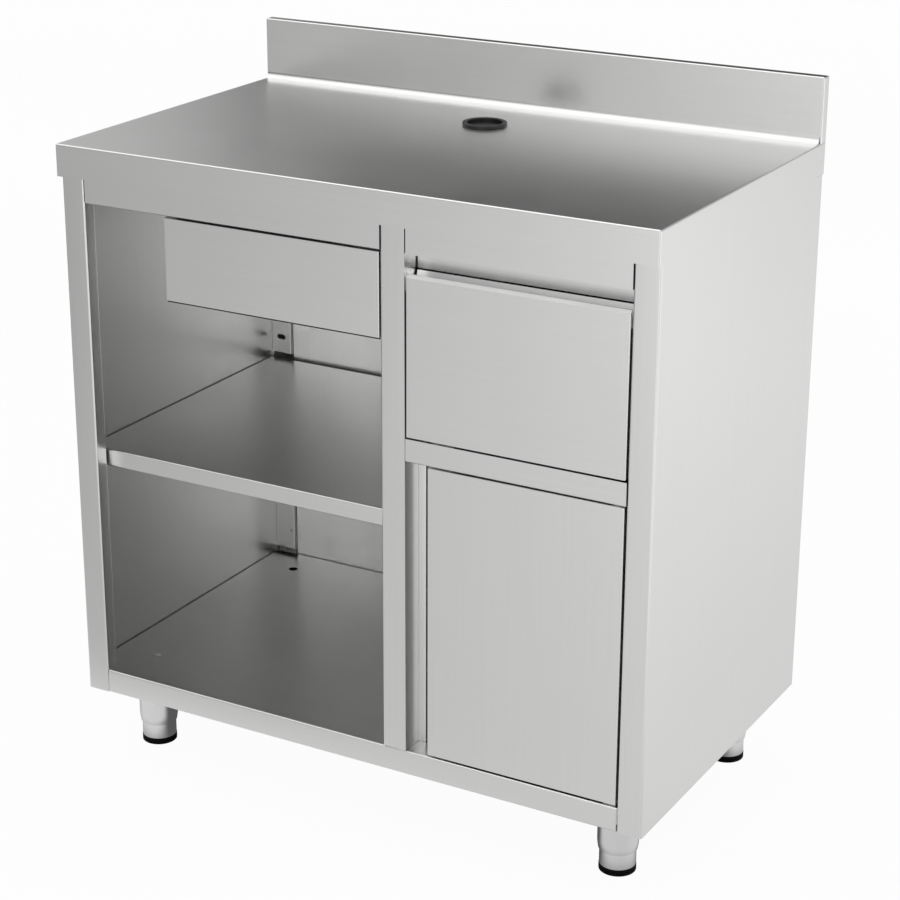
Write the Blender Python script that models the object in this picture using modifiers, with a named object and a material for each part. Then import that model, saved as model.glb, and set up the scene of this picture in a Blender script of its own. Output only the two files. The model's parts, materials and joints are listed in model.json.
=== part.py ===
# Coffee machine counter: a folded stainless steel cabinet on four adjustable legs.
# The open left bay has a shelf and a hung drawer, the right bay a deep drawer above a door.
# X runs to the right, the front faces -Y, Z is up and the floor is at Z = 0. Units are metres.

import math

import bmesh
import bpy
from mathutils import Matrix

# Overall sizes
COUNTER_WIDTH = 1.000
COUNTER_DEPTH = 0.595
LEG_HEIGHT = 0.111
BODY_HEIGHT = 0.910

# Sheet metal
SHEET = 0.0012
WORKTOP_SHEET = 0.0015
BEND_RADIUS = 0.0020
SHARP = 0.0
ARC_STEPS = 3

# Clearances
SEAT_GAP = 0.0003
SEAM_GAP = 0.0008
RUN_GAP = 0.0004

# Worktop
WORKTOP_FOLD = 0.050
SPLASH_RISE = 0.101
SPLASH_DEPTH = 0.0186
COVE_RADIUS = 0.0124
COVE_STEPS = 10
WORKTOP_EDGE_RADIUS = 0.0028
WORKTOP_EDGE_STEPS = 4
FRONT_SETBACK = 0.0104
BACK_SETBACK = 0.0002
STIFFENER_DROP = 0.025
STIFFENER_WIDTH = 0.030
STIFFENER_FLANGE = 0.020
FRONT_STIFFENER_FROM_FRONT = 0.170
REAR_STIFFENER_FROM_BACK = 0.255

# Cable grommet in the worktop
GROMMET_FROM_BACK = 0.1600
GROMMET_RADIUS = 0.0350
GROMMET_RISE = 0.0052
GROMMET_EDGE_RADIUS = 0.0016
GROMMET_HOLE_RADIUS = 0.0300
GROMMET_NECK_DROP = 0.014
GROMMET_CAP_RADIUS = 0.0277
GROMMET_CAP_THICKNESS = 0.0020
GROMMET_CAP_CHAMFER = 0.0005
GROMMET_CAP_RECESS = 0.0060
GROMMET_LEDGE = 0.0035

# Posts, rails and panels
POST_WIDTH = 0.040
POST_RETURN = 0.0252
POST_LIP = 0.020
MID_POST_DEPTH = 0.0397
LEFT_BAY_WIDTH = 0.5222
APRON_DROP = 0.040
APRON_RETURN = 0.025
APRON_LIP = 0.012
APRON_LEFT_GAP = 0.0018
BOTTOM_RAIL = 0.0395
RAIL_RETURN = 0.020
MID_RAIL = 0.036
MID_RAIL_RETURN = 0.025
REAR_FLANGE = 0.015
RELIEF_SLIT_LENGTH = 0.028
RELIEF_SLIT_HEIGHT = 0.0014
REAR_POST_WIDTH = 0.040
REAR_POST_STEP = 0.005
REAR_POST_FOOT_GAP = 0.010
FLOOR_SIDE_GAP = 0.0018
FLOOR_SIDE_FOLD = 0.020
BACK_PANEL_INSET = 0.0218
BACK_PANEL_FLANGE = 0.014
FLOOR_BACK_DROP = 0.025
DIVIDER_FLANGE = 0.012
DIVIDER_FRONT_INSET = 0.010

# Slots in the rear posts
CABLE_SLOT_LENGTH = 0.0176
CABLE_SLOT_HEIGHT = 0.0090
CABLE_SLOT_ABOVE_SHELF = 0.038
CABLE_SLOT_FROM_SIDE = 0.0196
SCREW_HOLE_RADIUS = 0.0023
SCREW_HOLE_ABOVE_FLOOR = 0.0455
SCREW_HOLE_FROM_SIDE = 0.0325
SHELF_NOTCH_ABOVE = 0.009

# Middle shelf
SHELF_BELOW_TOP = 0.4963
SHELF_FOLD = 0.0283
SHELF_RETURN = 0.012
SHELF_SETBACK = 0.0296
SHELF_BACK_GAP = 0.0026
SHELF_LEFT_GAP = 0.0022
SHELF_SIDE_GAP = 0.0010
BRACKET_LEG = 0.018
BRACKET_END_GAP = 0.048

# Legs and feet
LEG_INSET_SIDE = 0.0753
LEG_INSET_FRONT = 0.0847
LEG_INSET_BACK = 0.0864
LEG_HOLE_RADIUS = 0.0078
SLEEVE_RADIUS = 0.0315
SLEEVE_WALL = 0.0020
SLEEVE_FLANGE_RADIUS = 0.050
SLEEVE_FLANGE_THICKNESS = 0.0030
SLEEVE_TAPER_TOP = 0.0505
SLEEVE_MOUTH = 0.036
SLEEVE_LIP = 0.0012
SLEEVE_TOP_HOLE_RADIUS = 0.0095
FOOT_RADIUS = 0.0280
FOOT_WALL = 0.0020
FOOT_CHAMFER = 0.0010
FOOT_INSERT = 0.045
PAD_RADIUS = 0.0285
PAD_HEIGHT = 0.0100
PAD_EDGE_RADIUS = 0.0030
PAD_PLUG_HEIGHT = 0.0080
TURN_STEPS = 24

# Drawer parts that both drawers share
FRONT_THICKNESS = 0.0185
FRONT_EDGE_RADIUS = 0.0015
FRONT_OPENING_MARGIN = 0.008
RUNNER_HEIGHT = 0.034
RUNNER_DEPTH = 0.010
RUNNER_FRONT_GAP = 0.012
RUNNER_ABOVE_BOX_FLOOR = 0.030
BOX_BACK_CLEARANCE = 0.060

# Drawer hung under the worktop in the left bay
HUNG_FRONT_WIDTH = 0.373
HUNG_FRONT_HEIGHT = 0.1305
HUNG_TOP_GAP = 0.0027
HUNG_SIDE_GAP = 0.0020
HUNG_BOTTOM_BEVEL = 0.0030
HUNG_BOX_HEIGHT = 0.085
HUNG_BOX_ABOVE_FRONT_BOTTOM = 0.010
HANGER_INSET = 0.0015
HANGER_FLANGE = 0.030

# Deep drawer in the right bay, opened by a finger channel above its front
FINGER_SLOT = 0.0295
FINGER_RECESS = 0.035
RECESS_PLATE_DROP = 0.028
DRAWER_FRONT_HEIGHT = 0.2435
DRAWER_TOP_BEVEL = 0.0045
DRAWER_LEFT_GAP = 0.0024
DRAWER_RIGHT_GAP = 0.0026
DRAWER_BOTTOM_GAP = 0.0030
CHANNEL_DEPTH = 0.0345
CHANNEL_LEAN = 0.0095
CHANNEL_DROP = 0.0285
CHANNEL_FLANGE = 0.020
CHANNEL_GAP = 0.0025
DRAWER_BOX_ABOVE_FRONT_BOTTOM = 0.008
RUNNER_POST_GAP = 0.0020
SPACER_HEIGHT = 0.060
SPACER_FOOT = 0.014
KNOCK_BAR_RADIUS = 0.0080
KNOCK_SLEEVE_RADIUS = 0.0160
KNOCK_SLEEVE_MARGIN = 0.050
KNOCK_SLEEVE_CHAMFER = 0.0025
KNOCK_BAR_FROM_BOX_FRONT = 0.150
KNOCK_BAR_BELOW_RIM = 0.030

# Door, opened by a finger gap along its left edge
DOOR_FINGER_GAP = 0.0374
DOOR_RIGHT_GAP = 0.0028
DOOR_TOP_GAP = 0.0020
DOOR_BOTTOM_GAP = 0.0031
DOOR_THICKNESS = 0.0195
PIVOT_FROM_EDGE = 0.012
PIVOT_FROM_FACE = 0.0085
PIN_RADIUS = 0.0030
PIN_LENGTH = 0.0110
PIVOT_PLATE_LENGTH = 0.020
PIVOT_PLATE_WIDTH = 0.011
PIVOT_PLATE_LEAD = 0.0035
PIVOT_PLATE_THICKNESS = 0.0009
BUSH_RADIUS = 0.0050
BUSH_COLLAR_RADIUS = 0.0062
BUSH_COLLAR_THICKNESS = 0.0020
BUSH_LENGTH = 0.0120
STOP_REACH = 0.056
STOP_GRIP_WIDTH = 0.0132
STOP_JOGGLE = 0.010
STOP_FLANGE = 0.012
STOP_BEHIND_RAIL = 0.032
CATCH_WIDTH = 0.010
CATCH_HEIGHT = 0.040
CATCH_EDGE_RADIUS = 0.0012
CATCH_FROM_DOOR_EDGE = 0.004
CATCH_BELOW_DOOR_TOP = 0.060
STRIKE_THICKNESS = 0.0010
STRIKE_MARGIN = 0.003

# Cutters reach this far past what they cut
OVERCUT = 0.010
# Shapes that are joined reach this far into each other
OVERLAP = 0.0008
# Joined faces that would lie in one plane are set apart by this step
JOIN_STEP = 0.0001

# Levels and planes that several pieces share
half_width = COUNTER_WIDTH / 2
front = -COUNTER_DEPTH / 2
back = COUNTER_DEPTH / 2
underside = LEG_HEIGHT
worktop_top = LEG_HEIGHT + BODY_HEIGHT
worktop_under = worktop_top - WORKTOP_SHEET
fold_bottom = worktop_top - WORKTOP_FOLD
splash_front = back - SPLASH_DEPTH
splash_top = worktop_top + SPLASH_RISE
carcass_top = worktop_under - SEAT_GAP
carcass_front = front + FRONT_SETBACK
carcass_back = back - BACK_SETBACK
side_outer = half_width - WORKTOP_SHEET - SEAT_GAP
side_inner = side_outer - SHEET
post_inner = side_outer - POST_WIDTH
mid_left = -post_inner + LEFT_BAY_WIDTH
mid_right = mid_left + POST_WIDTH
floor_top = underside + BOTTOM_RAIL
apron_bottom = fold_bottom - APRON_DROP
back_panel_front = carcass_back - BACK_PANEL_INSET
rear_post_front = back_panel_front - REAR_POST_STEP
shelf_top = worktop_top - SHELF_BELOW_TOP
stiffener_bottom = carcass_top - STIFFENER_DROP
divider_x = mid_left + POST_WIDTH / 2
drawer_top = apron_bottom - FINGER_SLOT
drawer_bottom = drawer_top - DRAWER_FRONT_HEIGHT
mid_rail_top = drawer_bottom - DRAWER_BOTTOM_GAP
mid_rail_bottom = mid_rail_top - MID_RAIL
runner_space = SHEET + RUN_GAP + RUNNER_DEPTH + SEAT_GAP

for old in list(bpy.data.objects):
    bpy.data.objects.remove(old, do_unlink=True)

parts = bpy.data.collections.new("coffee_machine_counter")
cutters = bpy.data.collections.new("cutters")
bpy.context.scene.collection.children.link(parts)
bpy.context.scene.collection.children.link(cutters)


# Finishes


def finish(name, colour, roughness, metallic):
    material = bpy.data.materials.new(name)
    material.use_nodes = True
    shader = material.node_tree.nodes["Principled BSDF"]
    shader.inputs["Base Color"].default_value = (*colour, 1.0)
    shader.inputs["Roughness"].default_value = roughness
    shader.inputs["Metallic"].default_value = metallic
    return material


brushed_steel = finish("brushed_stainless_steel", (0.60, 0.60, 0.60), 0.32, 1.0)
zinc_steel = finish("zinc_plated_steel", (0.55, 0.56, 0.58), 0.38, 1.0)
black_plastic = finish("black_plastic", (0.010, 0.010, 0.011), 0.45, 0.0)
black_rubber = finish("black_rubber", (0.014, 0.014, 0.014), 0.75, 0.0)
white_nylon = finish("white_nylon", (0.78, 0.78, 0.75), 0.50, 0.0)


# Ways of making a piece


def place(obj, material):
    """Puts a finished piece among the parts, with its finish."""
    obj.data.materials.clear()
    obj.data.materials.append(material)
    parts.objects.link(obj)
    return obj


def as_cutter(obj):
    obj.hide_render = True
    obj.display_type = "WIRE"
    cutters.objects.link(obj)
    return obj


def combine(obj, other, operation):
    modifier = obj.modifiers.new(f"{operation.lower()}_{other.name}", "BOOLEAN")
    modifier.operation = operation
    modifier.object = other
    return obj


def block(name, low, high):
    """A plain box between two corners."""
    mesh = bpy.data.meshes.new(name)
    shape = bmesh.new()
    size = [b - a for a, b in zip(low, high)]
    middle = [(a + b) / 2 for a, b in zip(low, high)]
    bmesh.ops.create_cube(shape, size=1.0, matrix=Matrix.LocRotScale(middle, None, size))
    shape.to_mesh(mesh)
    shape.free()
    return bpy.data.objects.new(name, mesh)


def round_edges(obj, radius, chosen=None, segments=2):
    """Rounds a box's edges, all of them or those between the pairs of sides chosen."""
    shape = bmesh.new()
    shape.from_mesh(obj.data)
    edges = []
    for edge in shape.edges:
        sides = frozenset(side_name(face.normal) for face in edge.link_faces)
        if chosen is None or sides in chosen:
            edges.append(edge)
    bmesh.ops.bevel(
        shape, geom=edges, offset=radius, segments=segments, profile=0.5, affect="EDGES"
    )
    shape.to_mesh(obj.data)
    shape.free()
    return obj


def side_name(normal):
    axis = max(range(3), key=lambda i: abs(normal[i]))
    return ("+" if normal[axis] > 0 else "-") + "xyz"[axis]


def tray(name, low, high, open_side, sheet=SHEET):
    """A box folded from one sheet, with rounded bends and one side left open."""
    obj = block(name, low, high)
    shape = bmesh.new()
    shape.from_mesh(obj.data)
    shape.normal_update()
    mouth = [face for face in shape.faces if side_name(face.normal) == open_side]
    bmesh.ops.delete(shape, geom=mouth, context="FACES_ONLY")
    bends = [edge for edge in shape.edges if len(edge.link_faces) == 2]
    bmesh.ops.bevel(
        shape, geom=bends, offset=BEND_RADIUS, segments=2, profile=0.5, affect="EDGES"
    )
    shape.to_mesh(obj.data)
    shape.free()
    walls = obj.modifiers.new("sheet", "SOLIDIFY")
    walls.thickness = sheet
    walls.offset = -1.0
    walls.use_even_offset = True
    return obj


def arc(centre, radius, start, end, steps=ARC_STEPS):
    """Points from one angle to another, both ends included."""
    angles = [start + (end - start) * i / steps for i in range(steps + 1)]
    return [(centre[0] + radius * math.cos(a), centre[1] + radius * math.sin(a)) for a in angles]


def sheet_outline(path, sheet):
    """The section of a sheet bent along a path: the path is its left face, the metal lies to the right.

    A corner's third value is the inner radius of its bend, or SHARP for a corner ground square.
    """
    bends = [corner[2] if len(corner) > 2 else BEND_RADIUS for corner in path]
    path = [corner[:2] for corner in path]
    left = [path[0]]
    directions = []
    for a, b in zip(path, path[1:]):
        length = math.dist(a, b)
        directions.append(((b[0] - a[0]) / length, (b[1] - a[1]) / length))
    normals = [(d[1], -d[0]) for d in directions]
    right = [(path[0][0] + normals[0][0] * sheet, path[0][1] + normals[0][1] * sheet)]
    for corner, inner, before, after in zip(path[1:-1], bends[1:-1], directions, directions[1:]):
        turn = math.atan2(
            before[0] * after[1] - before[1] * after[0],
            before[0] * after[0] + before[1] * after[1],
        )
        if inner == SHARP:
            slant = sheet * math.tan(turn / 2)
            left.append(corner)
            right.append(
                (
                    corner[0] + before[1] * sheet + before[0] * slant,
                    corner[1] - before[0] * sheet + before[1] * slant,
                )
            )
            continue
        side = math.copysign(1.0, turn)
        left_radius = inner if turn > 0 else inner + sheet
        right_radius = inner + sheet if turn > 0 else inner
        reach = left_radius * math.tan(abs(turn) / 2)
        start = (corner[0] - before[0] * reach, corner[1] - before[1] * reach)
        centre = (start[0] - side * before[1] * left_radius, start[1] + side * before[0] * left_radius)
        first = math.atan2(start[1] - centre[1], start[0] - centre[0])
        left += arc(centre, left_radius, first, first + turn)
        right += arc(centre, right_radius, first, first + turn)
    last = path[-1]
    left.append(last)
    right.append((last[0] + normals[-1][0] * sheet, last[1] + normals[-1][1] * sheet))
    return left + right[::-1]


# Where an outline's two axes and its length lie in the counter
ALONG_X = Matrix(((0, 0, 1), (1, 0, 0), (0, 1, 0))).to_4x4()
ALONG_Y = Matrix(((1, 0, 0), (0, 0, -1), (0, 1, 0))).to_4x4()
ALONG_Z = Matrix.Identity(4)


def extrusion(name, outline, along, start, end):
    """A flat outline drawn out along X, Y or Z, as a mesh."""
    curve = bpy.data.curves.new(name, "CURVE")
    curve.dimensions = "2D"
    curve.fill_mode = "BOTH"
    curve.extrude = (end - start) / 2
    spline = curve.splines.new("POLY")
    spline.points.add(len(outline) - 1)
    spline.use_cyclic_u = True
    for point, (x, y) in zip(spline.points, outline):
        point.co = (x, y, 0.0, 1.0)
    drawn = bpy.data.objects.new(name + "_outline", curve)
    axis = along.to_3x3() @ Matrix.Identity(3).col[2]
    middle = abs(axis[0] + axis[1] + axis[2]) * (start + end) / 2
    drawn.matrix_world = Matrix.Translation([abs(a) * middle for a in axis]) @ along
    bpy.context.scene.collection.objects.link(drawn)
    graph = bpy.context.evaluated_depsgraph_get()
    mesh = bpy.data.meshes.new_from_object(drawn.evaluated_get(graph))
    mesh.name = name
    shape = bmesh.new()
    shape.from_mesh(mesh)
    bmesh.ops.remove_doubles(shape, verts=shape.verts, dist=1e-6)
    bmesh.ops.recalc_face_normals(shape, faces=shape.faces)
    shape.to_mesh(mesh)
    shape.free()
    obj = bpy.data.objects.new(name, mesh)
    obj.matrix_world = drawn.matrix_world
    bpy.data.objects.remove(drawn, do_unlink=True)
    return obj


def folded_sheet(name, path, along, start, end, sheet=SHEET):
    return extrusion(name, sheet_outline(path, sheet), along, start, end)


def mirrored(path):
    """The same bent path on the other side of the counter, with the metal still to its right."""
    return [(-corner[0], *corner[1:]) for corner in reversed(path)]


def turned(name, profile, at, closed=False):
    """A round piece: a profile of (radius, height) points, down its outer side, turned about Z."""
    mesh = bpy.data.meshes.new(name)
    edges = [(i, i + 1) for i in range(len(profile) - 1)]
    if closed:
        edges.append((len(profile) - 1, 0))
    mesh.from_pydata([(r, 0.0, z) for r, z in profile], edges, [])
    obj = bpy.data.objects.new(name, mesh)
    obj.location = at
    screw = obj.modifiers.new("turn", "SCREW")
    screw.steps = TURN_STEPS
    screw.render_steps = TURN_STEPS
    screw.use_merge_vertices = True
    screw.merge_threshold = 0.00001
    screw.use_smooth_shade = True
    return obj


def drill(name, at, radius, low, high, axis="z"):
    """A round cutter along Z or Y."""
    mesh = bpy.data.meshes.new(name)
    shape = bmesh.new()
    bmesh.ops.create_cone(
        shape, cap_ends=True, segments=TURN_STEPS, radius1=radius, radius2=radius, depth=high - low
    )
    shape.to_mesh(mesh)
    shape.free()
    obj = bpy.data.objects.new(name, mesh)
    middle = (low + high) / 2
    if axis == "z":
        obj.location = (at[0], at[1], middle)
    else:
        obj.location = (at[0], middle, at[1])
        obj.rotation_euler = (math.pi / 2, 0.0, 0.0)
    return as_cutter(obj)


def axis_empty(name, at):
    empty = bpy.data.objects.new(name, None)
    empty.location = at
    parts.objects.link(empty)
    return empty


def carry(empty, *pieces):
    """Hangs pieces on the empty that stands on their joint's axis, where they already are."""
    bpy.context.view_layer.update()
    for piece in pieces:
        piece.parent = empty
        piece.matrix_parent_inverse = empty.matrix_world.inverted()


# Worktop: one sheet folded down at the front and sides and up into a coved splashback


def make_worktop():
    worktop = block(
        "worktop", (-half_width, front, fold_bottom), (half_width, back, worktop_top)
    )
    top_bends = [("+z", "-y"), ("+z", "-x"), ("+z", "+x"), ("-y", "-x"), ("-y", "+x")]
    bend = (WORKTOP_EDGE_RADIUS, [frozenset(pair) for pair in top_bends], WORKTOP_EDGE_STEPS)
    round_edges(worktop, *bend)
    splash = block(
        "worktop_splash",
        (-half_width, splash_front, worktop_top - OVERLAP),
        (half_width, back, splash_top),
    )
    splash_bends = [("+z", "-y"), ("+z", "-x"), ("+z", "+x"), ("+z", "+y"), ("-y", "-x"), ("-y", "+x")]
    bend = (WORKTOP_EDGE_RADIUS, [frozenset(pair) for pair in splash_bends], WORKTOP_EDGE_STEPS)
    round_edges(splash, *bend)
    centre = (splash_front - COVE_RADIUS, worktop_top + COVE_RADIUS)
    cove_outline = [
        (splash_front + OVERLAP, worktop_top - OVERLAP),
        (splash_front + OVERLAP, worktop_top + COVE_RADIUS),
        *arc(centre, COVE_RADIUS, 0.0, -math.pi / 2, COVE_STEPS),
        (splash_front - COVE_RADIUS, worktop_top - OVERLAP),
    ]
    cove_end = half_width - WORKTOP_EDGE_RADIUS
    cove = extrusion("worktop_cove", cove_outline, ALONG_X, -cove_end, cove_end)
    inner_half = half_width - WORKTOP_SHEET
    pocket = block(
        "worktop_pocket",
        (-inner_half, front + WORKTOP_SHEET, fold_bottom + WORKTOP_SHEET),
        (inner_half, back + OVERCUT, worktop_under),
    )
    mouth = block(
        "worktop_mouth",
        (-inner_half, carcass_front - SEAT_GAP, fold_bottom - OVERCUT),
        (inner_half, back + OVERCUT, fold_bottom + 2 * WORKTOP_SHEET),
    )
    splash_hollow = block(
        "worktop_splash_hollow",
        (-inner_half, splash_front + WORKTOP_SHEET, worktop_under - WORKTOP_SHEET),
        (inner_half, back - WORKTOP_SHEET, splash_top - WORKTOP_SHEET),
    )
    for added in (splash, cove):
        combine(worktop, as_cutter(added), "UNION")
    for removed in (pocket, mouth, splash_hollow):
        combine(worktop, as_cutter(removed), "DIFFERENCE")
    hole = drill(
        "worktop_grommet_hole",
        (0.0, back - GROMMET_FROM_BACK),
        GROMMET_HOLE_RADIUS,
        worktop_under - OVERCUT,
        worktop_top + OVERCUT,
    )
    combine(worktop, hole, "DIFFERENCE")
    return place(worktop, brushed_steel)


def make_stiffener(name, middle_y):
    """A hat section glued under the worktop from side to side."""
    near = middle_y - STIFFENER_WIDTH / 2
    far = middle_y + STIFFENER_WIDTH / 2
    path = [
        (near - STIFFENER_FLANGE, carcass_top),
        (near, carcass_top),
        (near, stiffener_bottom),
        (far, stiffener_bottom),
        (far, carcass_top),
        (far + STIFFENER_FLANGE, carcass_top),
    ]
    reach = side_inner - SEAM_GAP
    return place(folded_sheet(name, path, ALONG_X, -reach, reach), brushed_steel)


make_worktop()
make_stiffener("worktop_front_stiffener", front + FRONT_STIFFENER_FROM_FRONT)
make_stiffener("worktop_rear_stiffener", back - REAR_STIFFENER_FROM_BACK)


# Cable grommet: a black ring pressed into the worktop, closed by a loose cap


def make_grommet():
    at = (0.0, back - GROMMET_FROM_BACK, worktop_top + SEAT_GAP)
    neck = GROMMET_HOLE_RADIUS - SEAT_GAP
    seat = GROMMET_CAP_RADIUS + SEAT_GAP
    bore = seat - GROMMET_LEDGE
    cap_top = GROMMET_RISE - GROMMET_CAP_RECESS
    cap_bottom = cap_top - GROMMET_CAP_THICKNESS
    ledge = cap_bottom - SEAT_GAP
    edge = GROMMET_EDGE_RADIUS
    profile = [
        (seat, GROMMET_RISE),
        *arc((GROMMET_RADIUS - edge, GROMMET_RISE - edge), edge, math.pi / 2, 0.0),
        (GROMMET_RADIUS, 0.0),
        (neck, 0.0),
        (neck, -GROMMET_NECK_DROP),
        (bore, -GROMMET_NECK_DROP),
        (bore, ledge),
        (seat, ledge),
    ]
    place(turned("grommet_ring", profile, at, closed=True), black_plastic)
    cap_edge = GROMMET_CAP_CHAMFER
    cap_profile = [
        (0.0, cap_top),
        (GROMMET_CAP_RADIUS - cap_edge, cap_top),
        (GROMMET_CAP_RADIUS, cap_top - cap_edge),
        (GROMMET_CAP_RADIUS, cap_bottom),
        (0.0, cap_bottom),
    ]
    place(turned("grommet_cap", cap_profile, at), black_plastic)


make_grommet()


# Sides: each a sheet folded round the front into a post face and its return


def make_side_panels():
    path = [
        (-post_inner - POST_LIP, carcass_front + POST_RETURN),
        (-post_inner, carcass_front + POST_RETURN),
        (-post_inner, carcass_front),
        (-side_outer, carcass_front),
        (-side_outer, carcass_back, SHARP),
        (-side_outer + REAR_FLANGE, carcass_back),
    ]
    for name, bent, side in (("left_side_panel", path, -1), ("right_side_panel", mirrored(path), 1)):
        panel = folded_sheet(name, bent, ALONG_Z, underside, carcass_top)
        across = sorted((side * (side_inner - BEND_RADIUS), side * (side_outer + OVERCUT)))
        slit = block(
            name + "_relief_slit",
            (across[0], carcass_back - RELIEF_SLIT_LENGTH, fold_bottom - RELIEF_SLIT_HEIGHT),
            (across[1], carcass_back + OVERCUT, fold_bottom),
        )
        combine(panel, as_cutter(slit), "DIFFERENCE")
        place(panel, brushed_steel)


def make_rear_posts():
    outer = side_inner - SEAT_GAP
    inner = outer - REAR_POST_WIDTH
    rear = carcass_back - SHEET - SEAT_GAP
    path = [
        (-inner, rear),
        (-inner, rear_post_front),
        (-outer, rear_post_front, SHARP),
        (-outer, rear),
        (-inner - SHEET - SEAM_GAP, rear),
    ]
    for name, bent, side in (("rear_left_post", path, -1), ("rear_right_post", mirrored(path), 1)):
        post = folded_sheet(name, bent, ALONG_Z, underside, carcass_top)
        foot_x = sorted((side * (outer + OVERCUT), side * (inner - OVERCUT)))
        foot = block(
            name + "_foot_notch",
            (foot_x[0], rear_post_front - OVERCUT, underside - OVERCUT),
            (foot_x[1], back_panel_front, floor_top + REAR_POST_FOOT_GAP),
        )
        combine(post, as_cutter(foot), "DIFFERENCE")
        slot_x = side * (outer - CABLE_SLOT_FROM_SIDE)
        slot_z = shelf_top + CABLE_SLOT_ABOVE_SHELF
        slot_end = CABLE_SLOT_HEIGHT / 2
        run = CABLE_SLOT_LENGTH / 2 - slot_end
        rim = arc((slot_x + run, slot_z), slot_end, -math.pi / 2, math.pi / 2, 2 * ARC_STEPS)
        rim += arc((slot_x - run, slot_z), slot_end, math.pi / 2, 1.5 * math.pi, 2 * ARC_STEPS)
        near = rear_post_front - OVERCUT
        far = rear_post_front + OVERCUT
        slot = extrusion(name + "_cable_slot", rim, ALONG_Y, near, far)
        combine(post, as_cutter(slot), "DIFFERENCE")
        screw_at = (side * (outer - SCREW_HOLE_FROM_SIDE), floor_top + SCREW_HOLE_ABOVE_FLOOR)
        hole = drill(name + "_screw_hole", screw_at, SCREW_HOLE_RADIUS, near, far, axis="y")
        combine(post, hole, "DIFFERENCE")
        kept = SHEET + BEND_RADIUS
        notch_x = sorted((side * (outer - kept), side * (inner - OVERCUT)))
        notch = block(
            name + "_shelf_notch",
            (notch_x[0], near, shelf_top - SHELF_FOLD),
            (notch_x[1], far, shelf_top + SHELF_NOTCH_ABOVE),
        )
        combine(post, as_cutter(notch), "DIFFERENCE")
        place(post, brushed_steel)


def make_back_panel():
    reach = side_inner - SEAT_GAP - REAR_POST_WIDTH - SEAT_GAP
    low = (-reach, back_panel_front, underside)
    high = (reach, back_panel_front + BACK_PANEL_FLANGE, carcass_top)
    panel = tray("back_panel", low, high, "+y")
    place(panel, brushed_steel)


make_side_panels()
make_rear_posts()
make_back_panel()


# Bottom shelf: its front fold is the bottom rail, let in between the two posts

legs = {
    "front_left": (-1, carcass_front + LEG_INSET_FRONT),
    "front_right": (1, carcass_front + LEG_INSET_FRONT),
    "rear_left": (-1, carcass_back - LEG_INSET_BACK),
    "rear_right": (1, carcass_back - LEG_INSET_BACK),
}
leg_x = side_outer - LEG_INSET_SIDE


def make_bottom_shelf():
    floor_back = back_panel_front - SEAT_GAP
    path = [
        (carcass_front + RAIL_RETURN, underside),
        (carcass_front, underside),
        (carcass_front, floor_top),
        (floor_back, floor_top),
        (floor_back, floor_top - FLOOR_BACK_DROP),
    ]
    reach = side_inner - FLOOR_SIDE_GAP
    shelf = folded_sheet("bottom_shelf", path, ALONG_X, -reach, reach)
    for name, side in (("left", -1), ("right", 1)):
        across = sorted((side * (post_inner - SEAM_GAP), side * (side_outer + OVERCUT)))
        notch = block(
            f"bottom_shelf_{name}_notch",
            (across[0], carcass_front - OVERCUT, underside - OVERCUT),
            (across[1], carcass_front + POST_RETURN + SEAM_GAP, floor_top + OVERCUT),
        )
        combine(shelf, as_cutter(notch), "DIFFERENCE")
        across = sorted((side * (reach - JOIN_STEP), side * (reach - SHEET)))
        fold = block(
            f"bottom_shelf_{name}_fold",
            (across[0], carcass_front + POST_RETURN + SEAM_GAP + SHEET, floor_top - FLOOR_SIDE_FOLD),
            (across[1], floor_back - 2 * SHEET - BEND_RADIUS, floor_top - SHEET / 2),
        )
        combine(shelf, as_cutter(fold), "UNION")
    # The holes over the rear legs let water off the floor
    for name in ("rear_left", "rear_right"):
        side, y = legs[name]
        at = (side * leg_x, y)
        hole = drill(
            f"bottom_shelf_{name}_hole", at, LEG_HOLE_RADIUS, floor_top - OVERCUT, floor_top + OVERCUT
        )
        combine(shelf, hole, "DIFFERENCE")
    place(shelf, brushed_steel)


make_bottom_shelf()


# Middle post, divider and the rails of the two bays


def make_mid_post():
    path = [
        (mid_right, carcass_front + MID_POST_DEPTH),
        (mid_right, carcass_front, SHARP),
        (mid_left, carcass_front),
        (mid_left, carcass_front + MID_POST_DEPTH),
    ]
    place(folded_sheet("mid_post", path, ALONG_Z, floor_top + SEAT_GAP, carcass_top), brushed_steel)


def make_divider():
    bottom = floor_top + SEAT_GAP
    top = stiffener_bottom - SHEET - SEAT_GAP
    path = [
        (divider_x + DIVIDER_FLANGE, bottom),
        (divider_x, bottom),
        (divider_x, top),
        (divider_x + DIVIDER_FLANGE, top),
    ]
    near = carcass_front + DIVIDER_FRONT_INSET
    far = back_panel_front - SEAT_GAP
    place(folded_sheet("centre_divider", path, ALONG_Y, near, far), brushed_steel)


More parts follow.
